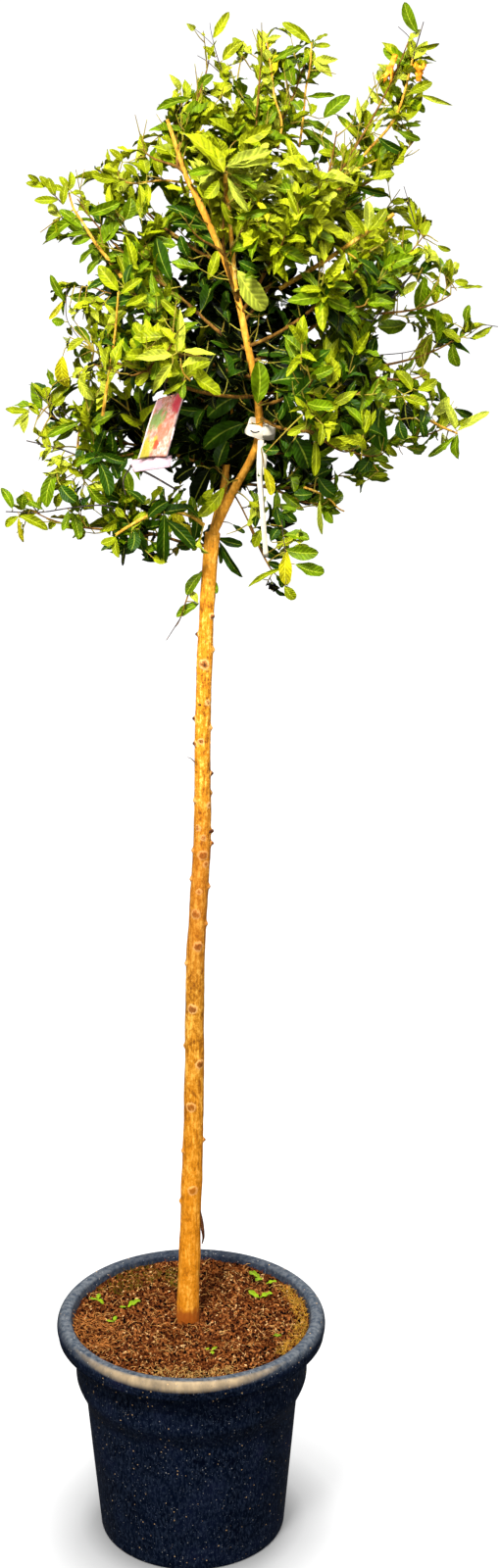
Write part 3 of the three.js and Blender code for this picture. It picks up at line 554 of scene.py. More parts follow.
soilDice = random.Random(soil["seed"])
addPiece(soilBed(), "pottingBed", soilMaterial(), ["potting_mix"])
crumbTones = {"crumbDark": (8, 2, 0), "crumbBrown": (78, 34, 10), "crumbRed": (176, 106, 52)}
for number, (name, colour) in enumerate(crumbTones.items()):
    spots = [turned(soilDice, soilSpot(soilDice, 0.02) + zAxis * 0.0006,
                    [soilDice.uniform(0.0009, 0.0030) for _ in range(3)])
             for _ in range(soil["crumbs"] // len(crumbTones))]
    crumbMaterial = mottled(name, colour, 0.9, 300, 2, (0.3, scaled(colour, 0.6)), (0.7, colour))
    addCrumbs(spots, name, number, crumbMaterial)

for name, share, colour in (("fibrePale", 0.28, (230, 174, 98)), ("fibreOrange", 0.72, (120, 56, 16))):
    fibres = [fibreLimb(soilDice, soilSpot(soilDice, 0.022), soilDice.uniform(0.006, 0.024),
                        soilDice.uniform(0.00025, 0.00055), 0.003)
              for _ in range(int(soil["fibres"] * share))]
    addTubes(fibres, name, 0, mottled(name, colour, 0.85, 120, 2, (0.3, scaled(colour, 0.7)), (0.7, colour)))

chipSpots = [turned(soilDice, soilSpot(soilDice, 0.03) + zAxis * 0.001,
                    (soilDice.uniform(0.0012, 0.0046), soilDice.uniform(0.0009, 0.0022), 0.0008))
             for _ in range(soil["chips"])]
addCrumbs(chipSpots, "paleChips", soil["chipShape"],
          mottled("paleChips", (222, 204, 176), 0.8, 90, 2, (0.35, (176, 112, 54)), (0.65, (240, 198, 134))))


def strawPatch(dice, bearingFrom, bearingTo, inner, outer, count, length):
    limbs = []
    for _ in range(count):
        bearing = radians(dice.uniform(bearingFrom, bearingTo))
        radius = dice.uniform(inner, outer)
        limbs.append(fibreLimb(dice, onSoil(radius * cos(bearing), radius * sin(bearing)),
                               dice.uniform(0.4, 1) * length, dice.uniform(0.0003, 0.0006), 0.004))
    return limbs


patches = {  # bearing from and to, inner and outer radius, how many, length, colour
    "strawRight": (-38, 34, 0.156, 0.174, 420, 0.011, (206, 152, 52)),
    "strawFront": (-108, -66, 0.146, 0.174, 220, 0.011, (214, 166, 92)),
    "huskLeft": (178, 214, 0.116, 0.172, 120, 0.026, (216, 138, 66)),
    "husk": (0, 360, 0.030, 0.172, 200, 0.022, (176, 100, 40)),
    "mossBack": (112, 150, 0.120, 0.172, 260, 0.008, (104, 84, 16)),
    "mossStem": (98, 112, 0.080, 0.150, 110, 0.008, (112, 98, 22)),
}
for name, (*patch, colour) in patches.items():
    tuft = mottled(name, colour, 0.85, 140, 2, (0.3, scaled(colour, 0.6)), (0.7, colour))
    addTubes(strawPatch(soilDice, *patch), name, 0, tuft)
print("potting mix ready")

# stem and limbs

stem = {
    "path": [(-0.006, -0.003, 0.330), (0.001, 0.001, 0.525), (0.007, 0.004, 0.724), (0.010, 0.007, 0.915),
             (0.021, 0.010, 1.115), (0.022, 0.012, 1.245), (0.030, 0.015, 1.455), (0.037, 0.015, 1.542)],
    "foot": 0.0168, "head": 0.0103, "flare": 0.0016, "swell": 0.0006, "blendHeight": 0.045,
    "voxel": 0.0015, "knotReach": 0.016,
}
leader = {"path": [(0.037, 0.015, 1.540), (0.062, 0.006, 1.595), (0.098, -0.023, 1.676),
                   (0.097, -0.042, 1.740), (0.084, -0.055, 1.810), (0.069, -0.060, 1.880),
                   (0.030, -0.060, 1.975), (0.007, -0.055, 2.021)],
          "radii": (0.0062, 0.0037)}
backLimb = {"path": [(0.037, 0.015, 1.540), (0.050, 0.024, 1.590), (0.057, 0.036, 1.640),
                     (0.062, 0.062, 1.720), (0.066, 0.092, 1.800)], "radii": (0.0060, 0.0026)}
# knots: height, bearing, and their kind: a bump, a dark knob, a ring round a dark eye, or a flat scar
knots = [
    (1.36, 268, 2), (1.427, 319, 1), (1.378, 0, 0), (1.4, 180, 1), (1.305, 304, 3), (1.28, 187, 1),
    (1.267, 345, 0), (1.245, 205, 1), (1.25, 258, 3), (1.2, 0, 1), (1.162, 205, 0), (1.156, 321, 3),
    (1.17, 20, 0), (1.115, 0, 1), (1.123, 238, 3), (1.109, 277, 3), (1.097, 0, 1), (1.083, 279, 2),
    (1.069, 303, 3), (1.087, 192, 0), (1.045, 196, 0), (1.033, 350, 0), (1.029, 269, 3), (0.995, 254, 2),
    (0.977, 345, 0), (0.946, 285, 2), (0.917, 200, 0), (0.85, 257, 2), (0.788, 180, 0), (0.764, 307, 2),
    (0.697, 253, 2), (0.639, 0, 1), (0.623, 200, 0), (0.564, 277, 2), (0.54, 180, 0), (0.505, 90, 2),
    (0.58, 60, 0), (0.66, 115, 2), (0.72, 40, 0), (0.81, 80, 2), (0.87, 130, 1), (0.93, 70, 3),
    (0.98, 100, 2), (1.06, 60, 1), (1.13, 110, 2), (1.19, 85, 3), (1.24, 50, 0), (1.31, 100, 2),
    (1.35, 140, 1), (1.42, 80, 2), (1.47, 110, 0),
]
knotKinds = [  # how far it stands out and its size in millimetres, and how dark its middle is
    (3.0, 4.6, 0.45), (4.4, 3.8, 1.0), (1.6, 6.6, 0.84), (0.6, 4.4, 0.72),
]
ringKnot = 2

steps = {"stem": 120, "leader": 60, "back_limb": 36}
stemPath = smoothPath(stem["path"], steps["stem"])
leaderPath = smoothPath(leader["path"], steps["leader"])
backPath = smoothPath(backLimb["path"], steps["back_limb"])


def stemRadius(share):
    length = pathLength(stemPath)
    body = stem["foot"] + (stem["head"] - stem["foot"]) * min(1, share * 1.1)
    flare = stem["flare"] * max(0, 1 - share * length / stem["blendHeight"])
    swell = stem["swell"] * max(0, 1 - (1 - share) * length / stem["blendHeight"])
    return body + flare + swell


limbPaths = {"stem": stemPath, "leader": leaderPath, "back_limb": backPath}
limbRadii = {"stem": [stemRadius(i / (steps["stem"] - 1)) for i in range(steps["stem"])],
             "leader": taper(*leader["radii"], steps["leader"]),
             "back_limb": taper(*backLimb["radii"], steps["back_limb"])}


def remeshed(mesh, voxel):
    holder = linked("remesh", mesh)
    modifier = holder.modifiers.new("remesh", "REMESH")
    modifier.mode = "VOXEL"
    modifier.voxel_size = voxel
    return finalMesh(holder)


def knotRelief(share, reach, ringed):
    # a bump, or a ring-shaped collar round a small pit
    return reach * (exp(-share * share * 1.6) - (0.75 * exp(-share * share * 12) if ringed else 0))


def barkRelief(mesh):
    # lifts knots and fibres on the bark, and marks the knots for its material
    marks = mesh.attributes.new("knot", "FLOAT", "POINT")
    values = np.zeros(len(mesh.vertices))
    centres = []
    for height, bearing, _ in knots:
        share = shareAtHeight(stemPath, height)
        centres.append(along(stemPath, share)[0] + atBearing(bearing) * stemRadius(share))
    tree = treeOf(centres)
    normals = [vert.normal.copy() for vert in mesh.vertices]
    for i, vert in enumerate(mesh.vertices):
        at = vert.co
        bearing = atan2(at.y - 0.012, at.x - 0.015)
        fibre = noise.noise(Vector((cos(bearing) * 5, sin(bearing) * 5, at.z * 26)))
        ridge = noise.noise(Vector((at.x * 520, at.y * 520, at.z * 60)))
        swell = noise.noise(Vector((at.x * 40, at.y * 40, at.z * 22)))
        lift = fibre * 0.0005 + ridge * 0.0004 + swell * 0.0009
        _, nearest, distance = tree.find(at)
        if distance < stem["knotReach"]:
            kind = knots[nearest][2]
            reach, size, mark = knotKinds[kind]
            lift += knotRelief(distance * 1000 / size, reach / 1000, kind == ringKnot)
            values[i] = max(0, 1 - (distance * 1000 / size / 1.5) ** 2) * mark
        vert.co = at + normals[i] * lift
    marks.data.foreach_set("value", values)


def barkMaterial(name, dark, middle, light, onStem=False):
    material = newMaterial(name, middle, 0.7, 0.15)
    fibre = grain(material, 330, 5, 0.6, (1, 1, 0.12))
    blotch = grain(material, 80, 5, 0.6, (1, 1, 0.6))
    flake = grain(material, 240, 4, 0.7, (1, 1, 0.7))
    mixed = calc(material, "ADD", multiply(material, fibre, 0.3), multiply(material, blotch, 0.32))
    mixed = calc(material, "ADD", mixed, multiply(material, flake, 0.38))
    colour = ramp(material, mixed, (0.41, dark), (0.485, middle), (0.52, middle), (0.58, light))
    freckle = flecks(material, 210, 0.3, 0.16, "Green", 0.8, (1, 1, 0.5))
    colour = blend(material, multiply(material, freckle, 0.7), colour, (96, 50, 16))
    if onStem:
        height = axisOf(material, place(material), "Z")
        uneven = calc(material, "ADD", height, multiply(material, blotch, 0.25))
        # an olive tone on the lower trunk, and on the limbs inside the crown as painted leaf shade
        oliveAndLeafShade = ramp(material, span(material, uneven, 0.4, 2.0), (0, 0.3), (0.36, 0.75), (0.48, 0.75),
                     (0.6, 0.05), (0.77, 0), (0.84, 0.8), (1, 0.6))
        oliveAndShadeTone = ramp(material, mixed, (0.41, (84, 50, 8)), (0.49, (166, 110, 22)), (0.58, (222, 168, 70)))
        colour = blend(material, oliveAndLeafShade, colour, oliveAndShadeTone)
        knot = addNode(material, "Attribute", attribute_name="knot").outputs["Fac"]
        knot = calc(material, "ADD", knot, span(material, flake, 0.4, 0.6, -0.12, 0.12))
        ringed = ramp(material, knot, (0.2, (206, 150, 76)), (0.5, (222, 170, 98)), (0.68, (150, 90, 34)),
                      (0.9, (66, 34, 14)))
        ragged = calc(material, "ADD", height, multiply(material, blotch, 0.03))
        waist = multiply(material, span(material, height, 1.2, 1.08),
                         span(material, height, 0.84, 0.96, 0, 0.5))
        for share, over in ((span(material, knot, 0.15, 0.4), ringed),
                            # painted light: a brighter orange round the fork, against the crown's shade
                            (span(material, height, 1.42, 1.58, 0, 0.42), (255, 176, 56)),
                            (span(material, height, 0.9, 0.55, 0, 0.32), (255, 150, 8)),
                            (waist, (170, 92, 16)),
                            (span(material, ragged, 0.389, 0.378, 0, 0.85), (150, 70, 16))):
            colour = blend(material, share, colour, over)
    wire(material, colour, span(material, fibre, 0.3, 0.7, 0.6, 0.85), fibre, 0.0012, 0.9)
    return material


stemBark = barkMaterial("stemBark", (120, 62, 8), (208, 132, 22), (248, 188, 80), True)
mainLimbs = [(limbPaths[name], limbRadii[name]) for name in limbPaths]
woodMesh = remeshed(tubes(mainLimbs, "standard", 5), stem["voxel"])
barkRelief(woodMesh)
addPiece(woodMesh, "standardStem", stemBark, ["stem", "leader", "back_limb"])
scraps = [  # a thorn, a stub, a flap of bark and a cut shoot: radii, then x, y, z in millimetres
    (0.9, 0.3, [(11, 4, 1219), (6, 4, 1224), (1, 4, 1226)]),
    (2.2, 1.6, [(30, 5, 1115), (33, 4, 1117), (36, 3, 1119)]),
    (1.4, 2.7, [(14, -2, 526), (17, -4, 508), (18, -4, 494)]),
    (2.7, 0.9, [(18, -4, 495), (19, -3, 482), (17, -2, 471)]),
    (1.5, 1.2, [(18, -9, 1306), (19, -11, 1307), (20, -12, 1306)]),
]


def inMetres(row, count=None):
    first, last, points = row
    path = smoothPath(fromMillimetres(points), count or 4 * len(points))
    return path, taper(first / 1000, last / 1000, len(path))


scrapBark = barkMaterial("scrapBark", (30, 14, 8), (70, 36, 18), (120, 74, 40))
addTubes([inMetres(row, 10) for row in scraps], "barkScraps", 2, scrapBark)
print("stem ready", len(woodMesh.polygons))

# boughs, twigs and leaves

# The rule of growth: a bough leaves its parent at a height, and runs a share of the way to the middle of
# its mass's reach. From its tip one lobe runs to each reach, and shoots turn round the lobes.
crown = [
    # name, parent, height, spread, share or tip, reach
    ("summit", "leader", None, 0.062, None,
     [(-0.078, -0.025, 2.07), (-0.012, 0.02, 2.128), (0.046, -0.005, 2.194)]),
    ("front_high", "leader", 1.862, 0.062, 0.3, [(0.056, -0.152, 2.072), (-0.01, -0.15, 1.99)]),
    ("top", "leader", 1.905, 0.06, 0.3,
     [(0.106, -0.02, 2.204), (0.172, 0.015, 2.186), (0.11, 0.06, 2.1)]),
    ("high_right", "leader", 1.838, 0.056, 0.3,
     [(0.306, 0.0, 2.214), (0.33, 0.012, 2.086), (0.206, -0.03, 2.11)]),
    ("front_up", "leader", 1.85, 0.062, 0.3, [(0.142, -0.192, 1.99), (0.196, -0.12, 2.05)]),
    ("right", "leader", 1.806, 0.062, 0.45, [(0.268, -0.118, 1.97), (0.262, -0.176, 1.88)]),
    ("far_right_high", "leader", 1.785, 0.06, 0.3,
     [(0.342, 0.025, 1.96), (0.384, -0.008, 1.872), (0.27, 0.03, 1.89)]),
    ("far_right", "leader", 1.742, 0.06, 0.3, [(0.404, 0.045, 1.818), (0.352, -0.066, 1.772)]),
    ("front_right", "leader", 1.728, 0.06, 0.3, [(0.176, -0.215, 1.8), (0.262, -0.14, 1.764)]),
    ("far_right_low", "leader", 1.656, 0.056, 0.3,
     [(0.388, -0.02, 1.702), (0.29, -0.096, 1.668), (0.236, 0.03, 1.706)]),
    ("low_right", "back_limb", 1.604, 0.052, 0.3, [(0.216, -0.01, 1.58), (0.248, 0.072, 1.62)]),
    ("hanging", "leader", 1.6, 0.034, 0.3, [(0.14, -0.03, 1.462)]),
    ("low_left", "stem", 1.524, 0.046, 0.3,
     [(-0.24, -0.02, 1.59), (-0.098, -0.072, 1.545), (-0.118, 0.056, 1.56)]),
    ("left", "back_limb", 1.632, 0.058, 0.3,
     [(-0.222, 0.0, 1.726), (-0.15, -0.07, 1.672), (-0.09, 0.02, 1.64)]),
    ("left_high", "leader", 1.8, 0.06, 0.3,
     [(-0.16, -0.018, 2.014), (-0.156, 0.022, 1.88), (-0.08, 0.0, 1.96)]),
    ("left_front", "leader", 1.764, 0.058, 0.3, [(-0.082, -0.125, 1.908), (-0.146, -0.118, 1.79)]),
    ("front_low", "leader", 1.738, 0.056, (-0.034, -0.17, 1.79),
     [(0.008, -0.238, 1.868), (-0.092, -0.226, 1.8)]),
    ("front_middle", "leader", 1.709, 0.052, 0.55, [(0.24, -0.196, 1.684), (0.178, -0.226, 1.738)]),
    ("back", "back_limb", None, 0.066, None,
     [(0.066, 0.262, 1.878), (0.0, 0.19, 1.94), (0.136, 0.176, 1.95)]),
    ("back_top", "back_limb", 1.772, 0.064, 0.3, [(0.096, 0.16, 2.1), (0.01, 0.118, 2.066)]),
    ("back_left", "back_limb", 1.69, 0.064, 0.3, [(-0.138, 0.176, 1.812), (-0.07, 0.24, 1.744)]),
    ("back_right", "back_limb", 1.712, 0.064, 0.3, [(0.232, 0.222, 1.826), (0.304, 0.132, 1.768)]),
    ("back_low", "back_limb", 1.618, 0.06, 0.3,
     [(0.052, 0.256, 1.646), (-0.046, 0.19, 1.622), (0.142, 0.186, 1.616)]),
    ("upper_right", "leader", 1.868, 0.062, 0.3, [(0.228, 0.14, 2.044), (0.296, 0.11, 1.96)]),
    ("upper_left", "leader", 1.915, 0.062, 0.3, [(-0.092, 0.122, 2.01), (-0.134, 0.09, 1.93)]),
    ("stem_sprig", "stem", None, 0.022, None, [(-0.028, -0.004, 1.392)]),
]

bough = {"base": 0.0026, "tip": 0.0021, "hanging": 0.0012, "sag": 0.1, "steps": 14}
twig = {"stem": 0.0025, "tip": 0.0008, "forkAt": 0.12, "shortOf": 0.75, "every": 0.034, "angle": 50,
        "turn": 137.5, "lift": 0.4, "shoot": 0.0011, "curl": 0.3, "seed": 5, "sideShoots": (0.35, 0.6)}
spur = {"every": 0.016, "length": (0.012, 0.045), "angle": 70}
sprig = {"mass": "stem_sprig", "scale": 0.72, "height": 1.492, "bearing": 190}
leaf = {
    "length": 0.048, "width": 0.36, "pairs": 0.0121, "angle": 50, "clear": 0.004, "shapes": 14, "blunt": 7,
    "shapeSeed": 9, "shine": 0.07, "darkShine": 0.03, "veins": 46, "middle": (0.085, 0, 1.78),
    "topFill": 1.3, "topFrom": 1.95,  # more leaves above a height
    "out": 0.5, "up": 0.45, "front": 0.45, "natural": 0.35, "scatter": 0.6,  # what turns a blade's face
    "missing": 0.12, "own": 0.7, "yellowed": 0.008, "crowded": 0.5,  # chances
    "sizes": (0.68, 1.12), "smallerAtTip": 0.25, "sunk": 0.0008, "inside": 0.002,
    "shaded": 2, "shadeSkipped": 0.35, "shadeDark": 0.6,
}
dice = random.Random(twig["seed"])

crownEdge = [  # x and z in millimetres, seen from the camera in the plane of the stem
    (7, 2205), (37, 2217), (59, 2224), (84, 2190), (96, 2210), (114, 2214), (131, 2210), (143, 2202),
    (168, 2198), (196, 2195), (208, 2159), (219, 2126), (234, 2133), (248, 2152), (253, 2181),
    (277, 2210), (274, 2233), (304, 2226), (317, 2186), (336, 2181), (326, 2140), (349, 2109),
    (324, 2092), (315, 2065), (295, 2040), (283, 2009), (276, 1984), (291, 2008), (302, 1984),
    (325, 1963), (354, 1926), (359, 1913), (375, 1888), (393, 1880), (376, 1859), (389, 1839),
    (418, 1827), (395, 1807), (370, 1788), (366, 1760), (340, 1765), (338, 1743), (367, 1723),
    (406, 1718), (406, 1705), (381, 1684), (374, 1639), (356, 1639), (329, 1671), (327, 1644),
    (298, 1668), (288, 1644), (275, 1604), (225, 1604), (212, 1644), (215, 1604), (223, 1569),
    (187, 1540), (173, 1542), (154, 1557), (187, 1530), (195, 1489), (161, 1448), (126, 1448),
    (108, 1469), (81, 1472), (68, 1483), (48, 1496), (44, 1523), (15, 1503), (2, 1513), (-28, 1489),
    (-51, 1510), (-91, 1496), (-117, 1517), (-117, 1540), (-137, 1534), (-176, 1544), (-216, 1526),
    (-248, 1550), (-246, 1611), (-214, 1604), (-187, 1633), (-212, 1660), (-244, 1684), (-243, 1720),
    (-217, 1730), (-203, 1756), (-164, 1785), (-158, 1807), (-165, 1827), (-178, 1833), (-174, 1897),
    (-142, 1878), (-129, 1905), (-148, 1905), (-160, 1932), (-192, 1934), (-190, 1972), (-199, 2018),
    (-158, 2030), (-120, 2025), (-107, 2040), (-95, 2055), (-69, 2072), (-44, 2099), (-34, 2113),
    (-16, 2150), (7, 2142), (34, 2140), (38, 2159), (7, 2193),
]
crownGaps = [  # x, z and radius of the places where the sky shows
    (63, 2113, 9), (89, 2128, 12), (81, 2157, 8), (181, 2106, 15), (197, 2067, 14), (219, 2116, 12),
    (162, 2045, 12), (185, 2025, 8), (209, 2079, 10), (256, 1988, 13), (-108, 1993, 12), (-98, 1976, 9),
    (-66, 1956, 12), (-8, 1946, 8), (-26, 1982, 12), (-122, 1913, 6), (-48, 1968, 8), (12, 1905, 6),
    (268, 1805, 17), (287, 1798, 12), (275, 1772, 10), (166, 1816, 10), (179, 1788, 5), (243, 1772, 5),
    (271, 1684, 13), (205, 1655, 12), (215, 1633, 10), (-73, 1676, 12), (-50, 1615, 15), (-26, 1623, 10),
    (-96, 1591, 9), (-207, 1631, 15), (-219, 1651, 13), (84, 1575, 9), (97, 1507, 18), (-89, 1767, 5),
    (43, 1837, 5), (147, 1593, 5), (160, 1571, 10), (-169, 1684, 6), (-25, 2099, 10), (239, 2034, 6),
    (264, 2013, 9), (335, 1865, 10), (280, 1865, 5), (279, 1837, 5), (182, 2052, 6), (132, 2046, 6),
    (186, 1591, 6), (68, 1550, 6), (-114, 2003, 8), (-161, 1913, 13), (-187, 1865, 13), (-113, 1884, 6),
    (101, 1550, 8), (88, 2186, 9), (131, 2186, 10), (286, 2192, 8), (280, 2180, 9), (-50, 2083, 8),
    (308, 2077, 9), (163, 2022, 6), (-190, 2009, 8), (-26, 1997, 6), (-39, 1972, 6), (-115, 1959, 7),
    (285, 1959, 9), (-82, 1939, 8), (-14, 1947, 6), (-129, 1891, 9), (-155, 1884, 6), (247, 1859, 9),
    (357, 1846, 8), (384, 1807, 8), (294, 1782, 8), (333, 1769, 9), (-171, 1749, 9), (283, 1677, 6),
    (309, 1677, 6), (-76, 1664, 8), (218, 1651, 7), (218, 1637, 8), (219, 1624, 7), (-70, 1611, 7),
    (-201, 1597, 7), (-175, 1571, 7), (-124, 1571, 12), (-123, 1549, 11), (26, 2180, 7), (-38, 2071, 7),
    (-114, 2009, 7), (277, 2003, 10), (-154, 1947, 7), (-92, 1934, 7), (-184, 1756, 7), (373, 1717, 7),
    (-67, 1664, 7), (270, 1651, 8), (205, 1624, 7),
]

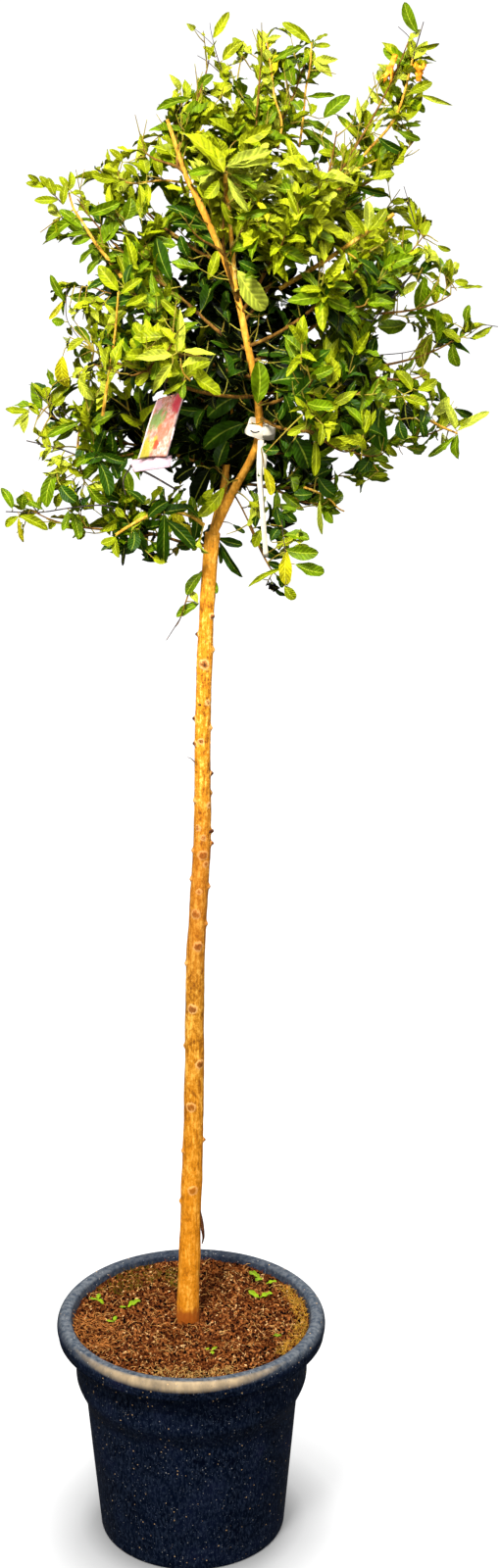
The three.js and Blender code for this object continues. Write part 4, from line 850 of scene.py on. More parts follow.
heroLeaves = {  # root x, y, z, tip x, z in millimetres, and width in percent of the length
    "bright": [
        (41, -5, 2187, 57, 2219, 33), (53, -5, 2160, 80, 2184, 40), (43, -5, 2164, 32, 2176, 45),
        (52, -5, 2145, 65, 2152, 56), (37, -5, 2117, 64, 2131, 49), (-54, -25, 2008, -51, 1982, 33),
        (-43, -25, 2008, -44, 1984, 30), (-46, -25, 2043, -52, 2071, 47), (-75, -25, 2036, -90, 2052, 40),
        (-81, -25, 2024, -101, 2033, 46), (56, -160, 2036, 4, 2086, 36), (56, -166, 2038, 20, 2090, 38),
        (71, -130, 2073, 114, 2092, 38), (-5, -216, 1835, -20, 1858, 40),
        (-38, -190, 1796, -57, 1781, 52),
    ],
    "lime": [
        (7, 10, 1462, 17, 1450, 70), (31, -5, 2190, 26, 2194, 71), (18, -5, 2198, 11, 2203, 69),
        (24, -5, 2119, 22, 2140, 44), (-1, -5, 2123, -13, 2142, 39), (109, -20, 2181, 104, 2199, 39),
        (110, -20, 2187, 127, 2192, 41), (112, -20, 2161, 105, 2177, 66), (117, -20, 2125, 96, 2161, 32),
        (169, 15, 2158, 192, 2144, 55), (171, 15, 2161, 200, 2161, 39), (260, 0, 2104, 237, 2128, 30),
        (228, 0, 2082, 225, 2116, 18), (247, 0, 2071, 258, 2092, 31), (306, 0, 2117, 345, 2106, 12),
        (-132, -100, 1773, -111, 1741, 36), (-93, -100, 1843, -74, 1861, 42),
        (-207, -5, 1711, -211, 1685, 45), (-204, -5, 1710, -228, 1695, 24), (-2, -222, 1826, 7, 1877, 23),
        (-8, -226, 1824, -52, 1826, 32), (5, -224, 1829, 45, 1828, 24), (4, -228, 1809, 36, 1827, 30),
        (-8, -230, 1814, -36, 1780, 28),
    ],
    "mid": [
        (23, 10, 1488, 1, 1458, 44), (18, 10, 1444, -15, 1434, 43), (38, 20, 1476, 43, 1460, 60),
        (97, -72, 1734, 98, 1790, 46), (22, -20, 2125, 41, 2144, 46), (14, -20, 2114, -33, 2104, 23),
        (3, -20, 2074, -38, 2086, 26), (-16, -20, 2064, -23, 2086, 37), (-120, -30, 1971, -78, 1988, 31),
        (-107, -30, 1932, -86, 1964, 43), (-73, -30, 1964, -65, 1989, 62),
        (-84, -30, 1972, -97, 1974, 69), (-138, -18, 1965, -185, 1939, 31),
        (-128, -18, 1952, -158, 1975, 36), (-123, -18, 1945, -147, 1943, 31),
        (-118, -18, 1939, -140, 1933, 45), (-112, -18, 1927, -138, 1910, 29),
        (-106, -18, 1913, -124, 1892, 36), (-154, 0, 1855, -171, 1890, 26),
        (-149, 0, 1862, -114, 1865, 44), (-155, 0, 1829, -170, 1832, 66), (116, -20, 2159, 152, 2179, 21),
        (117, -20, 2127, 126, 2147, 38), (144, -20, 2129, 135, 2163, 42), (123, -20, 2091, 101, 2110, 43),
        (96, -20, 2093, 79, 2115, 39), (182, 10, 2088, 209, 2116, 44), (159, 10, 2086, 196, 2072, 29),
        (201, 10, 2091, 238, 2056, 17), (157, 10, 2075, 205, 2042, 19), (148, 10, 2054, 175, 2056, 28),
        (160, 10, 2114, 195, 2119, 18), (300, 0, 2193, 282, 2231, 37), (293, 0, 2154, 255, 2176, 40),
        (284, 0, 2109, 317, 2099, 37), (282, 0, 2079, 303, 2082, 29), (276, 0, 2073, 306, 2061, 31),
        (279, 0, 2113, 270, 2129, 54), (316, 0, 1888, 311, 1838, 36), (325, 0, 1880, 351, 1862, 25),
        (370, 0, 1827, 373, 1851, 42), (356, 30, 1796, 364, 1761, 44), (295, 30, 1822, 256, 1820, 53),
        (358, -22, 1682, 323, 1653, 20), (362, -22, 1684, 362, 1649, 44),
        (-117, -30, 1803, -131, 1782, 69), (-120, -30, 1806, -140, 1829, 33),
        (-134, -30, 1703, -180, 1682, 23), (-169, -30, 1637, -183, 1588, 39),
        (-129, -30, 1616, -99, 1591, 36), (-229, -20, 1583, -242, 1611, 42),
        (-214, -20, 1582, -212, 1605, 59), (-188, -20, 1582, -207, 1595, 33),
        (-154, -20, 1581, -163, 1554, 38), (-150, -20, 1579, -139, 1545, 40),
        (135, -32, 1530, 179, 1529, 47), (133, -32, 1550, 167, 1547, 46), (148, -32, 1510, 189, 1500, 44),
        (47, -150, 2041, 10, 2037, 30), (65, -152, 2034, 97, 2017, 30), (67, -140, 1980, 113, 1992, 23),
        (76, -140, 2018, 96, 2001, 35), (6, -210, 1789, 5, 1769, 44), (-28, -200, 1815, -34, 1791, 44),
    ],
    "fresh": [
        (-166, -18, 1998, -182, 2018, 40), (-174, -17, 2004, -197, 2012, 40),
        (-162, -18, 1992, -170, 2016, 45), (-158, -19, 1988, -186, 1990, 38),
        (-182, -16, 2010, -196, 2020, 34), (-152, -20, 1982, -150, 2006, 45),
        (-81, -25, 2014, -114, 2022, 34), (-56, -25, 2018, -74, 2033, 49),
        (-44, -25, 2021, -47, 2043, 66), (-25, -25, 2018, -30, 2043, 49), (-71, -25, 2012, -92, 2003, 57),
        (-145, -15, 1997, -157, 2017, 42), (-145, -15, 1999, -140, 2023, 44),
        (-144, -15, 1996, -125, 1997, 40), (-146, -15, 1997, -170, 2005, 35),
        (-133, -15, 1974, -118, 1986, 58), (-78, -120, 1887, -101, 1918, 47),
        (-74, -120, 1883, -52, 1904, 36), (-71, -120, 1868, -42, 1883, 31), (34, -70, 1894, 44, 1930, 37),
        (166, 20, 2179, 129, 2204, 30), (169, 20, 2181, 186, 2192, 30), (168, 20, 2176, 190, 2177, 33),
        (165, 20, 2146, 160, 2177, 46), (161, 20, 2112, 139, 2126, 48), (298, 0, 2174, 329, 2180, 24),
        (291, 0, 2119, 318, 2133, 41), (267, 0, 2105, 251, 2146, 33), (237, 0, 2065, 237, 2099, 43),
        (230, 0, 2062, 202, 2093, 24), (201, -25, 2043, 174, 2049, 40), (214, -25, 2028, 219, 2055, 49),
        (242, -25, 2014, 272, 2023, 40), (209, -25, 2033, 205, 2058, 38),
        (236, -110, 1960, 256, 1989, 42), (244, -110, 1964, 262, 1980, 25),
        (232, -110, 1955, 207, 1987, 30), (303, 20, 1951, 296, 1982, 31), (289, 20, 1980, 272, 1980, 69),
        (314, 20, 1934, 321, 1956, 55), (332, 20, 1925, 350, 1919, 40), (305, 20, 1941, 279, 1933, 48),
        (350, 5, 1877, 348, 1910, 42), (354, 5, 1881, 372, 1881, 57), (358, 5, 1872, 390, 1878, 16),
        (333, 5, 1882, 326, 1855, 46), (329, 30, 1809, 312, 1763, 42), (338, 30, 1815, 367, 1800, 36),
        (356, 30, 1822, 337, 1832, 56), (298, -60, 1749, 277, 1775, 49), (305, -60, 1750, 330, 1764, 53),
        (285, -60, 1741, 317, 1737, 36), (264, -40, 1677, 281, 1659, 42), (256, -40, 1653, 278, 1642, 32),
        (249, -40, 1632, 271, 1636, 35), (242, -40, 1626, 225, 1618, 35),
        (-183, -5, 1728, -199, 1749, 24), (-185, -5, 1729, -177, 1744, 64),
        (-204, -5, 1712, -235, 1716, 33), (-191, -5, 1706, -204, 1724, 46),
        (-175, -5, 1719, -157, 1732, 46), (-221, -20, 1573, -240, 1558, 45),
        (-220, -20, 1573, -182, 1563, 34), (-170, -20, 1585, -164, 1606, 49),
        (-90, -60, 1554, -109, 1548, 57), (-90, -60, 1554, -86, 1529, 42),
        (-77, -60, 1581, -89, 1594, 57), (54, -30, 1615, 20, 1576, 36), (2, -150, 1856, -23, 1878, 33),
        (5, -150, 1861, 20, 1873, 45), (171, -120, 1698, 171, 1649, 24), (155, -120, 1759, 206, 1762, 34),
        (166, -120, 1721, 135, 1703, 32), (130, -30, 1503, 85, 1486, 17), (134, -30, 1480, 151, 1463, 79),
        (105, -30, 1559, 94, 1534, 49), (56, -156, 2040, 37, 2085, 19), (49, -150, 2027, 32, 2006, 54),
        (52, -140, 2001, 65, 1969, 29), (89, -140, 2001, 69, 1968, 25), (-15, -205, 1844, -58, 1844, 37),
        (17, -200, 1794, 52, 1782, 46), (9, -214, 1791, -20, 1775, 18),
    ],
    "yellow": [
        (-157, 0, 1856, -175, 1833, 26), (-157, -20, 1788, -153, 1744, 47),
        (-221, -20, 1573, -216, 1534, 17), (106, -60, 1648, 116, 1610, 33),
        (137, -34, 1529, 136, 1482, 40),
    ],
    "deep": [
        (-13, -60, 1891, -31, 1945, 35), (46, -60, 1936, 19, 1953, 50), (9, -60, 1921, -1, 1948, 43),
        (34, -60, 1958, -11, 1971, 32), (25, -60, 1963, -16, 1988, 26), (222, -25, 2006, 268, 1993, 21),
        (212, -25, 1977, 230, 1981, 35), (250, -25, 2067, 286, 2047, 30), (210, -25, 1984, 231, 1998, 19),
        (257, -90, 1734, 257, 1676, 42), (281, -90, 1717, 289, 1692, 62), (307, -90, 1715, 317, 1694, 50),
        (297, -90, 1717, 298, 1695, 41), (248, -40, 1664, 231, 1638, 59), (178, -40, 1630, 204, 1607, 74),
        (171, -40, 1608, 146, 1609, 63), (-162, -50, 1622, -141, 1602, 73),
        (-101, -50, 1660, -132, 1655, 49), (-112, -50, 1655, -97, 1609, 38),
        (-96, -50, 1655, -85, 1629, 41), (-74, -50, 1615, -51, 1596, 34),
        (-108, -50, 1665, -76, 1657, 35), (-25, -60, 1586, -31, 1512, 25), (-25, -50, 1576, 17, 1536, 31),
        (-67, -50, 1562, -70, 1536, 65), (-59, -50, 1562, -52, 1528, 45), (-48, -50, 1578, -20, 1602, 39),
        (-35, -50, 1584, 1, 1600, 39), (80, -20, 1698, 24, 1667, 43), (77, -20, 1736, 33, 1709, 50),
        (45, -20, 1640, 53, 1672, 57), (44, 30, 1531, 78, 1521, 37), (46, 30, 1527, 78, 1472, 21),
        (44, 30, 1521, 48, 1494, 25), (64, 30, 1550, 81, 1539, 33), (104, -55, 1674, 125, 1674, 100),
        (97, -55, 1795, 136, 1797, 45), (145, -100, 1696, 168, 1655, 71),
        (113, -100, 1767, 167, 1783, 45), (132, -100, 1752, 145, 1714, 44),
        (131, -28, 1501, 129, 1476, 39), (123, -28, 1589, 133, 1561, 44), (133, -28, 1584, 150, 1569, 59),
        (115, -28, 1541, 127, 1559, 63),
    ],
    "pale": [
        (72, -112, 1911, 114, 1864, 47), (235, -108, 1961, 234, 1997, 40),
        (361, -20, 1688, 401, 1716, 23), (359, -20, 1690, 346, 1724, 32), (328, -20, 1709, 349, 1733, 47),
        (180, -45, 1601, 179, 1555, 11), (59, -164, 2045, 107, 2072, 28), (61, -168, 2044, 108, 2056, 15),
        (48, -154, 2039, 23, 2021, 39), (60, -164, 2032, 86, 1990, 22),
    ],
    "dark": [
        (-78, -45, 1544, -82, 1512, 12), (34, 0, 1633, 5, 1593, 51), (16, 0, 1636, -13, 1615, 51),
    ],
}

tanTwigs = [  # radius at the start and at the end, then x, y, z in millimetres; the first gets a brighter bark as painted light
    (3.3, 2.7, [(70, -70, 1880), (65, -90, 1940), (61, -111, 1985), (57, -132, 2023), (58, -152, 2036)]),
    (3.2, 2.4, [(126, -80, 1884), (156, -87, 1903), (189, -94, 1925), (233, -101, 1956),
                 (268, -108, 1981)]),
    (1.2, 0.8, [(205, -95, 1933), (218, -100, 1927), (229, -105, 1916)]),
    (2.9, 1.3, [(-78, -25, 1890), (-98, -22, 1916), (-111, -20, 1932), (-127, -17, 1958),
                 (-139, -15, 1976), (-145, -12, 1996)]),
    (2.3, 1.2, [(-101, -115, 1727), (-96, -118, 1758), (-89, -120, 1796), (-83, -122, 1834),
                 (-78, -125, 1886)]),
    (1.1, 0.7, [(-88, -112, 1796), (-69, -108, 1789), (-50, -105, 1778)]),
    (2.7, 2.0, [(26, -20, 1561), (9, -28, 1575), (-16, -36, 1583), (-49, -44, 1578), (-74, -52, 1566),
                 (-90, -60, 1557)]),
    (1.6, 1.1, [(159, -45, 1618), (175, -40, 1611), (192, -35, 1601), (205, -30, 1586),
                 (213, -25, 1581)]),
    (2.1, 1.3, [(322, -40, 1707), (339, -30, 1696), (361, -20, 1685)]),
    (2.1, 1.7, [(102, -10, 1675), (119, -28, 1700), (143, -45, 1729)]),
    (1.6, 1.1, [(6, -8, 2008), (-26, -5, 2011), (-64, -3, 2007), (-89, 0, 2014)]),
    (1.9, 1.3, [(-137, -10, 1695), (-141, -8, 1659), (-137, -7, 1632), (-133, -5, 1616)]),
    (1.7, 1.1, [(123, -20, 2052), (128, -20, 2085), (119, -20, 2115), (115, -20, 2145),
                 (109, -20, 2184)]),
    (1.7, 1.2, [(151, 10, 2051), (156, 12, 2088), (159, 15, 2124), (164, 18, 2148), (166, 20, 2180)]),
    (2.1, 1.5, [(207, -10, 2004), (232, -8, 2041), (267, -6, 2080), (279, -4, 2104), (287, -2, 2132),
                 (294, 0, 2162)]),
    (2.9, 2.7, [(195, -35, 1995), (204, -32, 2007), (212, -30, 2017)]),
    (0.9, 0.7, [(175, -30, 2006), (207, -28, 2021), (250, -25, 2039)]),
    (1.3, 0.9, [(13, -200, 1788), (5, -208, 1799), (2, -215, 1818)]),
    (1.2, 0.7, [(211, -20, 1677), (236, -30, 1664), (257, -40, 1638)]),
    (3.5, 2.4, [(8, -55, 2018), (-3, -51, 2050), (-10, -48, 2071), (-17, -46, 2091)]),
]
darkTwigs = [  # radius at the start and at the end, then x, y, z in millimetres
    (0.8, 0.5, [(-6, -9, 1430), (-16, -9, 1414), (-26, -9, 1398)]),
    (1.1, 0.8, [(-140, -12, 1653), (-166, -8, 1662), (-209, -5, 1672)]),
    (1.1, 0.7, [(294, 0, 2162), (301, 0, 2186), (307, 0, 2207)]),
    (0.7, 0.5, [(294, 0, 2174), (289, 0, 2188), (275, 0, 2201)]),
    (1.1, 0.8, [(-82, -30, 1584), (-108, -25, 1589), (-147, -20, 1585), (-194, -15, 1577),
                 (-239, -10, 1577)]),
    (1.7, 1.3, [(-69, -60, 1650), (-48, -40, 1636), (-10, -20, 1609)]),
    (1.2, 0.9, [(-69, -60, 1648), (-79, -52, 1629), (-77, -45, 1608)]),
    (0.8, 0.6, [(250, 20, 1781), (289, 22, 1784), (311, 25, 1788)]),
    (0.7, 0.5, [(289, 22, 1784), (290, 20, 1764)]),
    (1.1, 0.6, [(309, 40, 1820), (342, 41, 1791), (368, 42, 1804), (393, 44, 1817), (417, 45, 1815)]),
    (1.3, 0.9, [(298, -10, 1892), (266, -25, 1856), (244, -40, 1833)]),
    (0.9, 0.5, [(303, 20, 1951), (295, 20, 1976), (287, 20, 2001)]),
    (0.9, 0.7, [(-155, -20, 1985), (-170, -18, 2001), (-191, -15, 2017)]),
    (1.1, 0.8, [(0, -20, 2052), (-1, -20, 2110)]),
    (0.7, 0.5, [(49, -10, 2146), (32, -8, 2160), (21, -5, 2166)]),
    (0.8, 0.4, [(52, -5, 2148), (47, -5, 2162), (42, -5, 2180), (38, -5, 2198), (37, -5, 2206)]),
    (0.5, 0.4, [(41, -5, 2179), (29, -5, 2190), (16, -5, 2200)]),
    (0.7, 0.5, [(-151, 0, 1878), (-153, 0, 1839), (-150, 0, 1827), (-131, 0, 1803), (-118, 0, 1801)]),
    (0.7, 0.5, [(129, -30, 1591), (131, -31, 1558), (135, -33, 1525), (136, -34, 1482)]),
    (0.9, 0.5, [(-37, 0, 1918), (-46, 0, 1956), (-54, 0, 1981), (-59, 0, 2003)]),
    (0.6, 0.5, [(-150, -5, 1700), (-165, -5, 1717), (-184, -5, 1727), (-197, -5, 1737)]),
    (0.7, 0.5, [(-71, 0, 1934), (-78, 0, 1959)]),
]

eye = Vector(studio["eye"])
crownEdge = [(x / 1000, z / 1000) for x, z in crownEdge]
crownGaps = [(x / 1000, z / 1000, r / 1000) for x, z, r in crownGaps]


def fromFront(point):
    # where the line from the camera through a point meets the plane of the stem
    share = -eye.y / (point.y - eye.y)
    return eye.x + (point.x - eye.x) * share, eye.z + (point.z - eye.z) * share


def inCrown(point):
    x, z = fromFront(point)
    inside = False
    for (x1, z1), (x2, z2) in zip(crownEdge, crownEdge[1:] + crownEdge[:1]):
        if (z1 > z) != (z2 > z) and x < x1 + (z - z1) / (z2 - z1) * (x2 - x1):
            inside = not inside
    return inside and all(hypot(x - gx, z - gz) > r for gx, gz, r in crownGaps)


def boughPath(parent, height, share, reaches):
    path = limbPaths[parent]
    start = along(path, shareAtHeight(path, height))[0]
    middle = sum((Vector(r) for r in reaches), Vector()) / len(reaches)
    tip = Vector(share) if isinstance(share, tuple) else start.lerp(middle, share)
    bend = start.lerp(tip, 0.5)
    bend.z -= (tip - start).length * bough["sag"] * (1 if tip.z > start.z else -1)
    stations = [i / (bough["steps"] - 1) for i in range(bough["steps"])]
    return [start * (1 - t) ** 2 + bend * 2 * t * (1 - t) + tip * t * t for t in stations]


def lobePath(start, heading, reach, leafLength):
    reach = Vector(reach)
    length = (reach - start).length
    end = reach.lerp(start, leafLength * twig["shortOf"] / length)
    arriving = end.lerp(start, 0.3) - zAxis * length * 0.12
    return bezier(start, start + heading * length * 0.25, arriving, end, 16)


def leaning(direction, turn, angle):
    helper = Vector((1, 0, 0)) if abs(direction.z) > 0.9 else zAxis
    side = direction.cross(helper).normalized()
    other = side.cross(direction)
    out = side * cos(turn) + other * sin(turn)
    return (direction * cos(radians(angle)) + out * sin(radians(angle))).normalized()


def rising(onward, turn, angle, lift):
    return (leaning(onward, turn, angle) + zAxis * lift).normalized()


def shootPath(start, direction, length):
    bend = leaning(direction, dice.uniform(0, 2 * pi), 90) * length * dice.uniform(0, twig["curl"])
    lift = zAxis * length * 0.16
    return evenly([start, start + direction * length * 0.5 + bend * 0.4,
                   start + direction * length + bend * 0.3 + lift], 6)


boughLimbs, lobeLimbs, shootLimbs, sprays = [], [], [], []


def addSpray(mass, path, scale=1.0, **marks):
    sprays.append({"mass": mass, "path": path, "scale": scale, **marks})


def addShoot(mass, start, direction, length, radius, **marks):
    path = shootPath(start, direction, length)
    if not inCrown(path[-1]) and not inCrown(path[3]):
        return None
    shootLimbs.append((path, taper(radius, twig["tip"] * 0.6, len(path))))
    addSpray(mass, path, **marks)
    return path


for name, parent, height, spread, share, reaches in crown:
    leafScale = sprig["scale"] if name == sprig["mass"] else 1
    if height:
        path = boughPath(parent, height, share, reaches)
        base = bough.get(name, bough["base"])
        boughLimbs.append((name, path, taper(base, min(base, bough["tip"]), len(path))))
        start, heading = along(path, 1)
    elif name == sprig["mass"]:
        start = along(stemPath, shareAtHeight(stemPath, sprig["height"]))[0]
        heading = atBearing(sprig["bearing"])
    else:
        start, heading = along(limbPaths[parent], 1)
    first = lobePath(start, heading, reaches[0], leaf["length"] * leafScale)
    lobes = [first]
    for i, reach in enumerate(reaches[1:]):
        fork, onward = along(first, twig["forkAt"] * (i + 1))
        away = (Vector(reach) - fork).normalized().lerp(onward, 0.3).normalized()
        lobes.append(lobePath(fork, away, reach, leaf["length"] * leafScale))
    for lobe in lobes:
        lobeLimbs.append((lobe, taper(twig["stem"] * (0.6 if leafScale < 1 else 1), twig["tip"], len(lobe))))
        addSpray(name, lobe, leafScale)
        if leafScale < 1:
            continue
        count = max(2, round(pathLength(lobe) / twig["every"]))
        turn = dice.uniform(0, 2 * pi)
        for i in range(count):
            at = 0.08 + 0.84 * i / (count - 1)
            turn += radians(twig["turn"])
            point, onward = along(lobe, at)
            direction = rising(onward, turn, twig["angle"], twig["lift"])
            length = spread * dice.uniform(0.8, 1.5) * (1 - 0.4 * at)
            shoot = addShoot(name, point, direction, length, twig["shoot"])
            for share in twig["sideShoots"] if shoot else ():
                point, onward = along(shoot, share + dice.uniform(-0.1, 0.1))
                direction = rising(onward, dice.uniform(0, 2 * pi), 48, 0.2)
                addShoot(name, point, direction, length * dice.uniform(0.35, 0.55), twig["shoot"] * 0.75)

# short spurs fill the inside of the crown
bareEnds = [("leader", leaderPath[14:]), ("back_limb", backPath[8:])]
for name, path in [limb[:2] for limb in boughLimbs] + bareEnds:
    count = round(pathLength(path) / spur["every"])
    turn = dice.uniform(0, 2 * pi)
    for i in range(count):
        turn += radians(twig["turn"])
        point, onward = along(path, 0.1 + 0.88 * i / max(1, count - 1))
        addShoot(name, point, rising(onward, turn, spur["angle"], 0.2), dice.uniform(*spur["length"]),
                 twig["shoot"], spur=True)

tanLimbs = [inMetres(row) for row in tanTwigs]
darkLimbs = [inMetres(row) for row in darkTwigs]


def leafWidth(u, blunt):
    # half the width of a blade at u of its length, 1 where it is widest
    first, last = (0.85, 0.6) if blunt else (0.85, 1.0)
    top = first / (first + last)
    return (u / top) ** first * ((1 - u) / (1 - top)) ** last if 0 < u < 1 else 0


def leafTemplate(blunt, fold, droop, wave, twist, sickle):
    # a blade along +X of length 1, with a narrow midrib strip
    stations = (0, 0.1, 0.24, 0.4, 0.56, 0.72, 0.86, 0.955, 1)
    columns = (-1, -0.55, -0.05, 0.05, 0.55, 1)
    chart = []
    bm = bmesh.new()
    bmesh.ops.create_grid(bm, x_segments=len(stations) - 1, y_segments=len(columns) - 1, size=0.5)
    for vert in bm.verts:
        u = stations[int((vert.co.x + 0.5) * (len(stations) - 1) + 0.5)]
        v = columns[int((vert.co.y + 0.5) * (len(columns) - 1) + 0.5)]
        chart.append((u, v))
        edge = v * leaf["width"] / 2 * leafWidth(u, blunt)
        rise = fold * abs(edge) - droop * u * u + wave * sin(u * 14 + v * 1.5) * abs(edge)
        side = sickle * u * (1 - u)
        vert.co = Vector((u * (1 - 0.08 * abs(droop)), edge * cos(twist * u) + side,
                          rise + edge * sin(twist * u)))
    return templateOf(bm), chart


shapeDice = random.Random(leaf["shapeSeed"])
shapeRanges = ((0.35, 1.1), (-0.12, 0.55), (0.25, 0.55), (-0.8, 0.8), (-0.3, 0.3))
leafShapes = [leafTemplate(i < leaf["blunt"], *[shapeDice.uniform(*limits) for limits in shapeRanges])
              for i in range(leaf["shapes"])]
blunt, slender = range(leaf["blunt"]), range(leaf["blunt"], leaf["shapes"])

# besides the leaves' own greens and yellows, the tones carry painted light and shade: dark is painted shade,
# deep partly so, and bright and lime partly painted light
leafTones = {  # colour, roughness
    "lime": ((158, 165, 46), 0.5), "pale": ((148, 156, 48), 0.48), "bright": ((140, 146, 14), 0.48),
    "fresh": ((120, 129, 6), 0.46), "mid": ((86, 108, 4), 0.44), "deep": ((36, 62, 3), 0.4),
    "dark": ((10, 16, 3), 0.4), "yellow": ((164, 156, 14), 0.45),
}
leafPlaces = {name: [] for name in leafTones}


def leafMatrix(root, direction, normal, length, width=1.0):
    side = normal.cross(direction).normalized()
    up = direction.cross(side)
    basis = Matrix((direction * length, side * length * width, up * length)).transposed()
    return Matrix.Translation(root) @ basis.to_4x4()


for path, _ in tanLimbs:
    if path[-1].z > 2.1:
        addSpray("high_right" if path[-1].x > 0.2 else "top", evenly(path[len(path) // 4:], 8), 0.9)

fuller = [  # x, y, z in millimetres of further sprays, and their leaves
    (75, 0, 2156, "lime"), (193, -5, 2144, "bright"), (238, -5, 2113, "lime"), (126, -20, 2022, "bright"),
    (-172, -5, 1953, "bright"), (305, -10, 1884, "bright"), (356, 0, 1871, "lime"),
    (-117, -30, 1859, "fresh"), (-137, -30, 1848, "bright"), (-137, -40, 1832, "fresh"),
    (-144, -30, 1812, "bright"), (-132, -50, 1756, "lime"), (-106, -60, 1754, "bright"),
    (-92, -70, 1742, "bright"), (-55, -60, 1730, "deep"), (-192, -10, 1703, "lime"),
    (-198, -10, 1690, "bright"), (-192, -10, 1677, "lime"), (348, -10, 1677, "fresh"),
    (-173, -15, 1664, "lime"), (-160, -20, 1651, "bright"), (-155, -25, 1637, "bright"),
    (-161, -20, 1622, "fresh"), (-122, -40, 1611, "bright"), (-4, -40, 1611, "deep"),
    (-30, -45, 1597, "mid"), (-15, -45, 1596, "deep"), (0, -35, 1594, "deep"), (20, -35, 1592, "mid"),
    (22, -35, 1572, "bright"), (22, -35, 1546, "bright"), (88, -30, 1594, "bright"),
    (96, -30, 1582, "fresh"), (88, -30, 1571, "lime"), (153, -20, 1584, "deep"),
    (-215, -10, 1557, "lime"), (88, 0, 2150, "lime"), (163, -5, 2107, "mid"), (188, -5, 2083, "bright"),
    (-38, -10, 2059, "lime"), (-63, -10, 2046, "bright"), (329, -5, 1934, "lime"),
    (279, -10, 1922, "fresh"), (317, -5, 1909, "lime"), (-117, -20, 1884, "lime"),
    (280, -10, 1859, "fresh"), (-119, -40, 1782, "bright"), (296, -15, 1703, "bright"),
    (-44, -40, 1523, "fresh"), (141, -30, 1530, "bright"), (-145, -30, 1857, "bright"),
    (-128, -35, 1842, "fresh"), (-142, -30, 1825, "bright"), (-119, -40, 1820, "lime"),
    (-149, -25, 1805, "fresh"), (-109, -45, 1849, "bright"), (-116, -45, 1798, "bright"),
    (-93, -55, 1829, "fresh"), (-136, -30, 1787, "bright"), (-103, -50, 1781, "lime"),
    (-77, -60, 1817, "fresh"), (-147, -30, 1761, "lime"), (-120, -45, 1765, "bright"),
    (-81, -60, 1763, "bright"), (-75, -60, 1750, "fresh"), (88, 0, 2168, "lime"), (160, 0, 2083, "mid"),
    (316, -5, 1923, "lime"), (-2, -60, 1883, "fresh"), (277, -10, 1861, "mid"), (254, -15, 1810, "deep"),
    (-148, -20, 1642, "bright"), (-148, -20, 1619, "fresh"), (-121, -30, 1621, "bright"),
    (-4, -50, 1622, "deep"), (-135, -25, 1607, "fresh"), (140, -30, 1540, "bright"),
    (-43, -40, 1543, "deep"), (-179, -5, 1948, "bright"), (8, -246, 1864, "bright"),
    (-88, -240, 1796, "fresh"), (176, -242, 1742, "fresh"), (112, -246, 1712, "mid"),
    (150, -242, 1812, "fresh"), (226, -236, 1700, "bright"), (165, 30, 1840, "dark"),
    (150, 40, 1826, "dark"), (178, 40, 1856, "deep"), (-20, 40, 1640, "dark"), (-60, 62, 1858, "mid"),
    (30, 66, 1868, "fresh"), (110, 60, 1850, "mid"), (200, 55, 1865, "fresh"), (-10, 48, 1838, "mid"),
    (-85, 55, 1702, "fresh"), (-120, 75, 1676, "mid"), (-55, 30, 1668, "mid"),
]
grownPaths = [leaderPath, backPath] + [limb[0] for limb in lobeLimbs + shootLimbs + tanLimbs]
twigEnds = np.array([p for path in grownPaths for p in path])
for x, y, z, colour in fuller:
    end = Vector((x, y, z)) / 1000
    apart = ((twigEnds - np.array(end)) ** 2).sum(axis=1)
    start = Vector(twigEnds[np.argmin(apart + 9 * (apart < 4e-4))])  # not one nearer than 20 mm
    lean = (end - start) * 0.4
    path = bezier(start, start + lean + zAxis * 0.004, end - lean * 0.5, end + lean * 0.3, 7)
    shootLimbs.append((path, taper(0.0012, 0.0006, len(path))))
    addSpray("front_middle", path[2:], 0.85, colour=colour)

# places that no other leaf may cover from the front: x, z, depth and radius
openSpots = []


def keepOpen(points, radius):
    for point in points:
        x, z = fromFront(point)
        openSpots.append((x, z, point.y, radius))


keepOpen(leaderPath[6:58], 0.009)
keepOpen(stemPath[-12:], 0.012)
keepOpen(backPath[:12], 0.009)
for path, _ in tanLimbs[:2]:
    keepOpen(path, 0.0075)
for path, _ in tanLimbs[3:9] + tanLimbs[-1:] + darkLimbs[:3]:
    keepOpen(path, 0.0045)
shadeWindows = [  # x, z and radius in millimetres of places that show the shade inside
    (5, 1864, 18), (18, 1793, 20), (31, 1832, 13), (92, 1845, 22), (111, 1826, 15), (-78, 1752, 12),
    (-28, 1728, 14), (-34, 1683, 16), (-27, 1889, 12), (-7, 1889, 14), (37, 1670, 10), (-62, 1712, 10),
]
for x, z, radius in shadeWindows:
    openSpots.append((x / 1000, z / 1000, -0.02, radius / 1000))
tagCorners = fromMillimetres(((-30, -158, 1755), (6, -146, 1763), (-19, -140, 1679), (-56, -152, 1679)))


def onPanel(corners, u, v):
    return corners[0].lerp(corners[1], u).lerp(corners[3].lerp(corners[2], u), v)


keepOpen([onPanel(tagCorners, u, v)
          for u in (0.1, 0.5, 0.9) for v in (0.02, 0.2, 0.4, 0.6, 0.8, 1, 1.15)], 0.011)
tieTail = smoothPath([(0.102, -0.043, 1.681), (0.100, -0.052, 1.645), (0.104, -0.054, 1.590),
                      (0.109, -0.047, 1.524)], 24)
keepOpen(tieTail, 0.006)
keepOpen([Vector(point) for point in
          ((0.084, -0.034, 1.698), (0.100, -0.034, 1.692), (0.114, -0.034, 1.690))], 0.014)

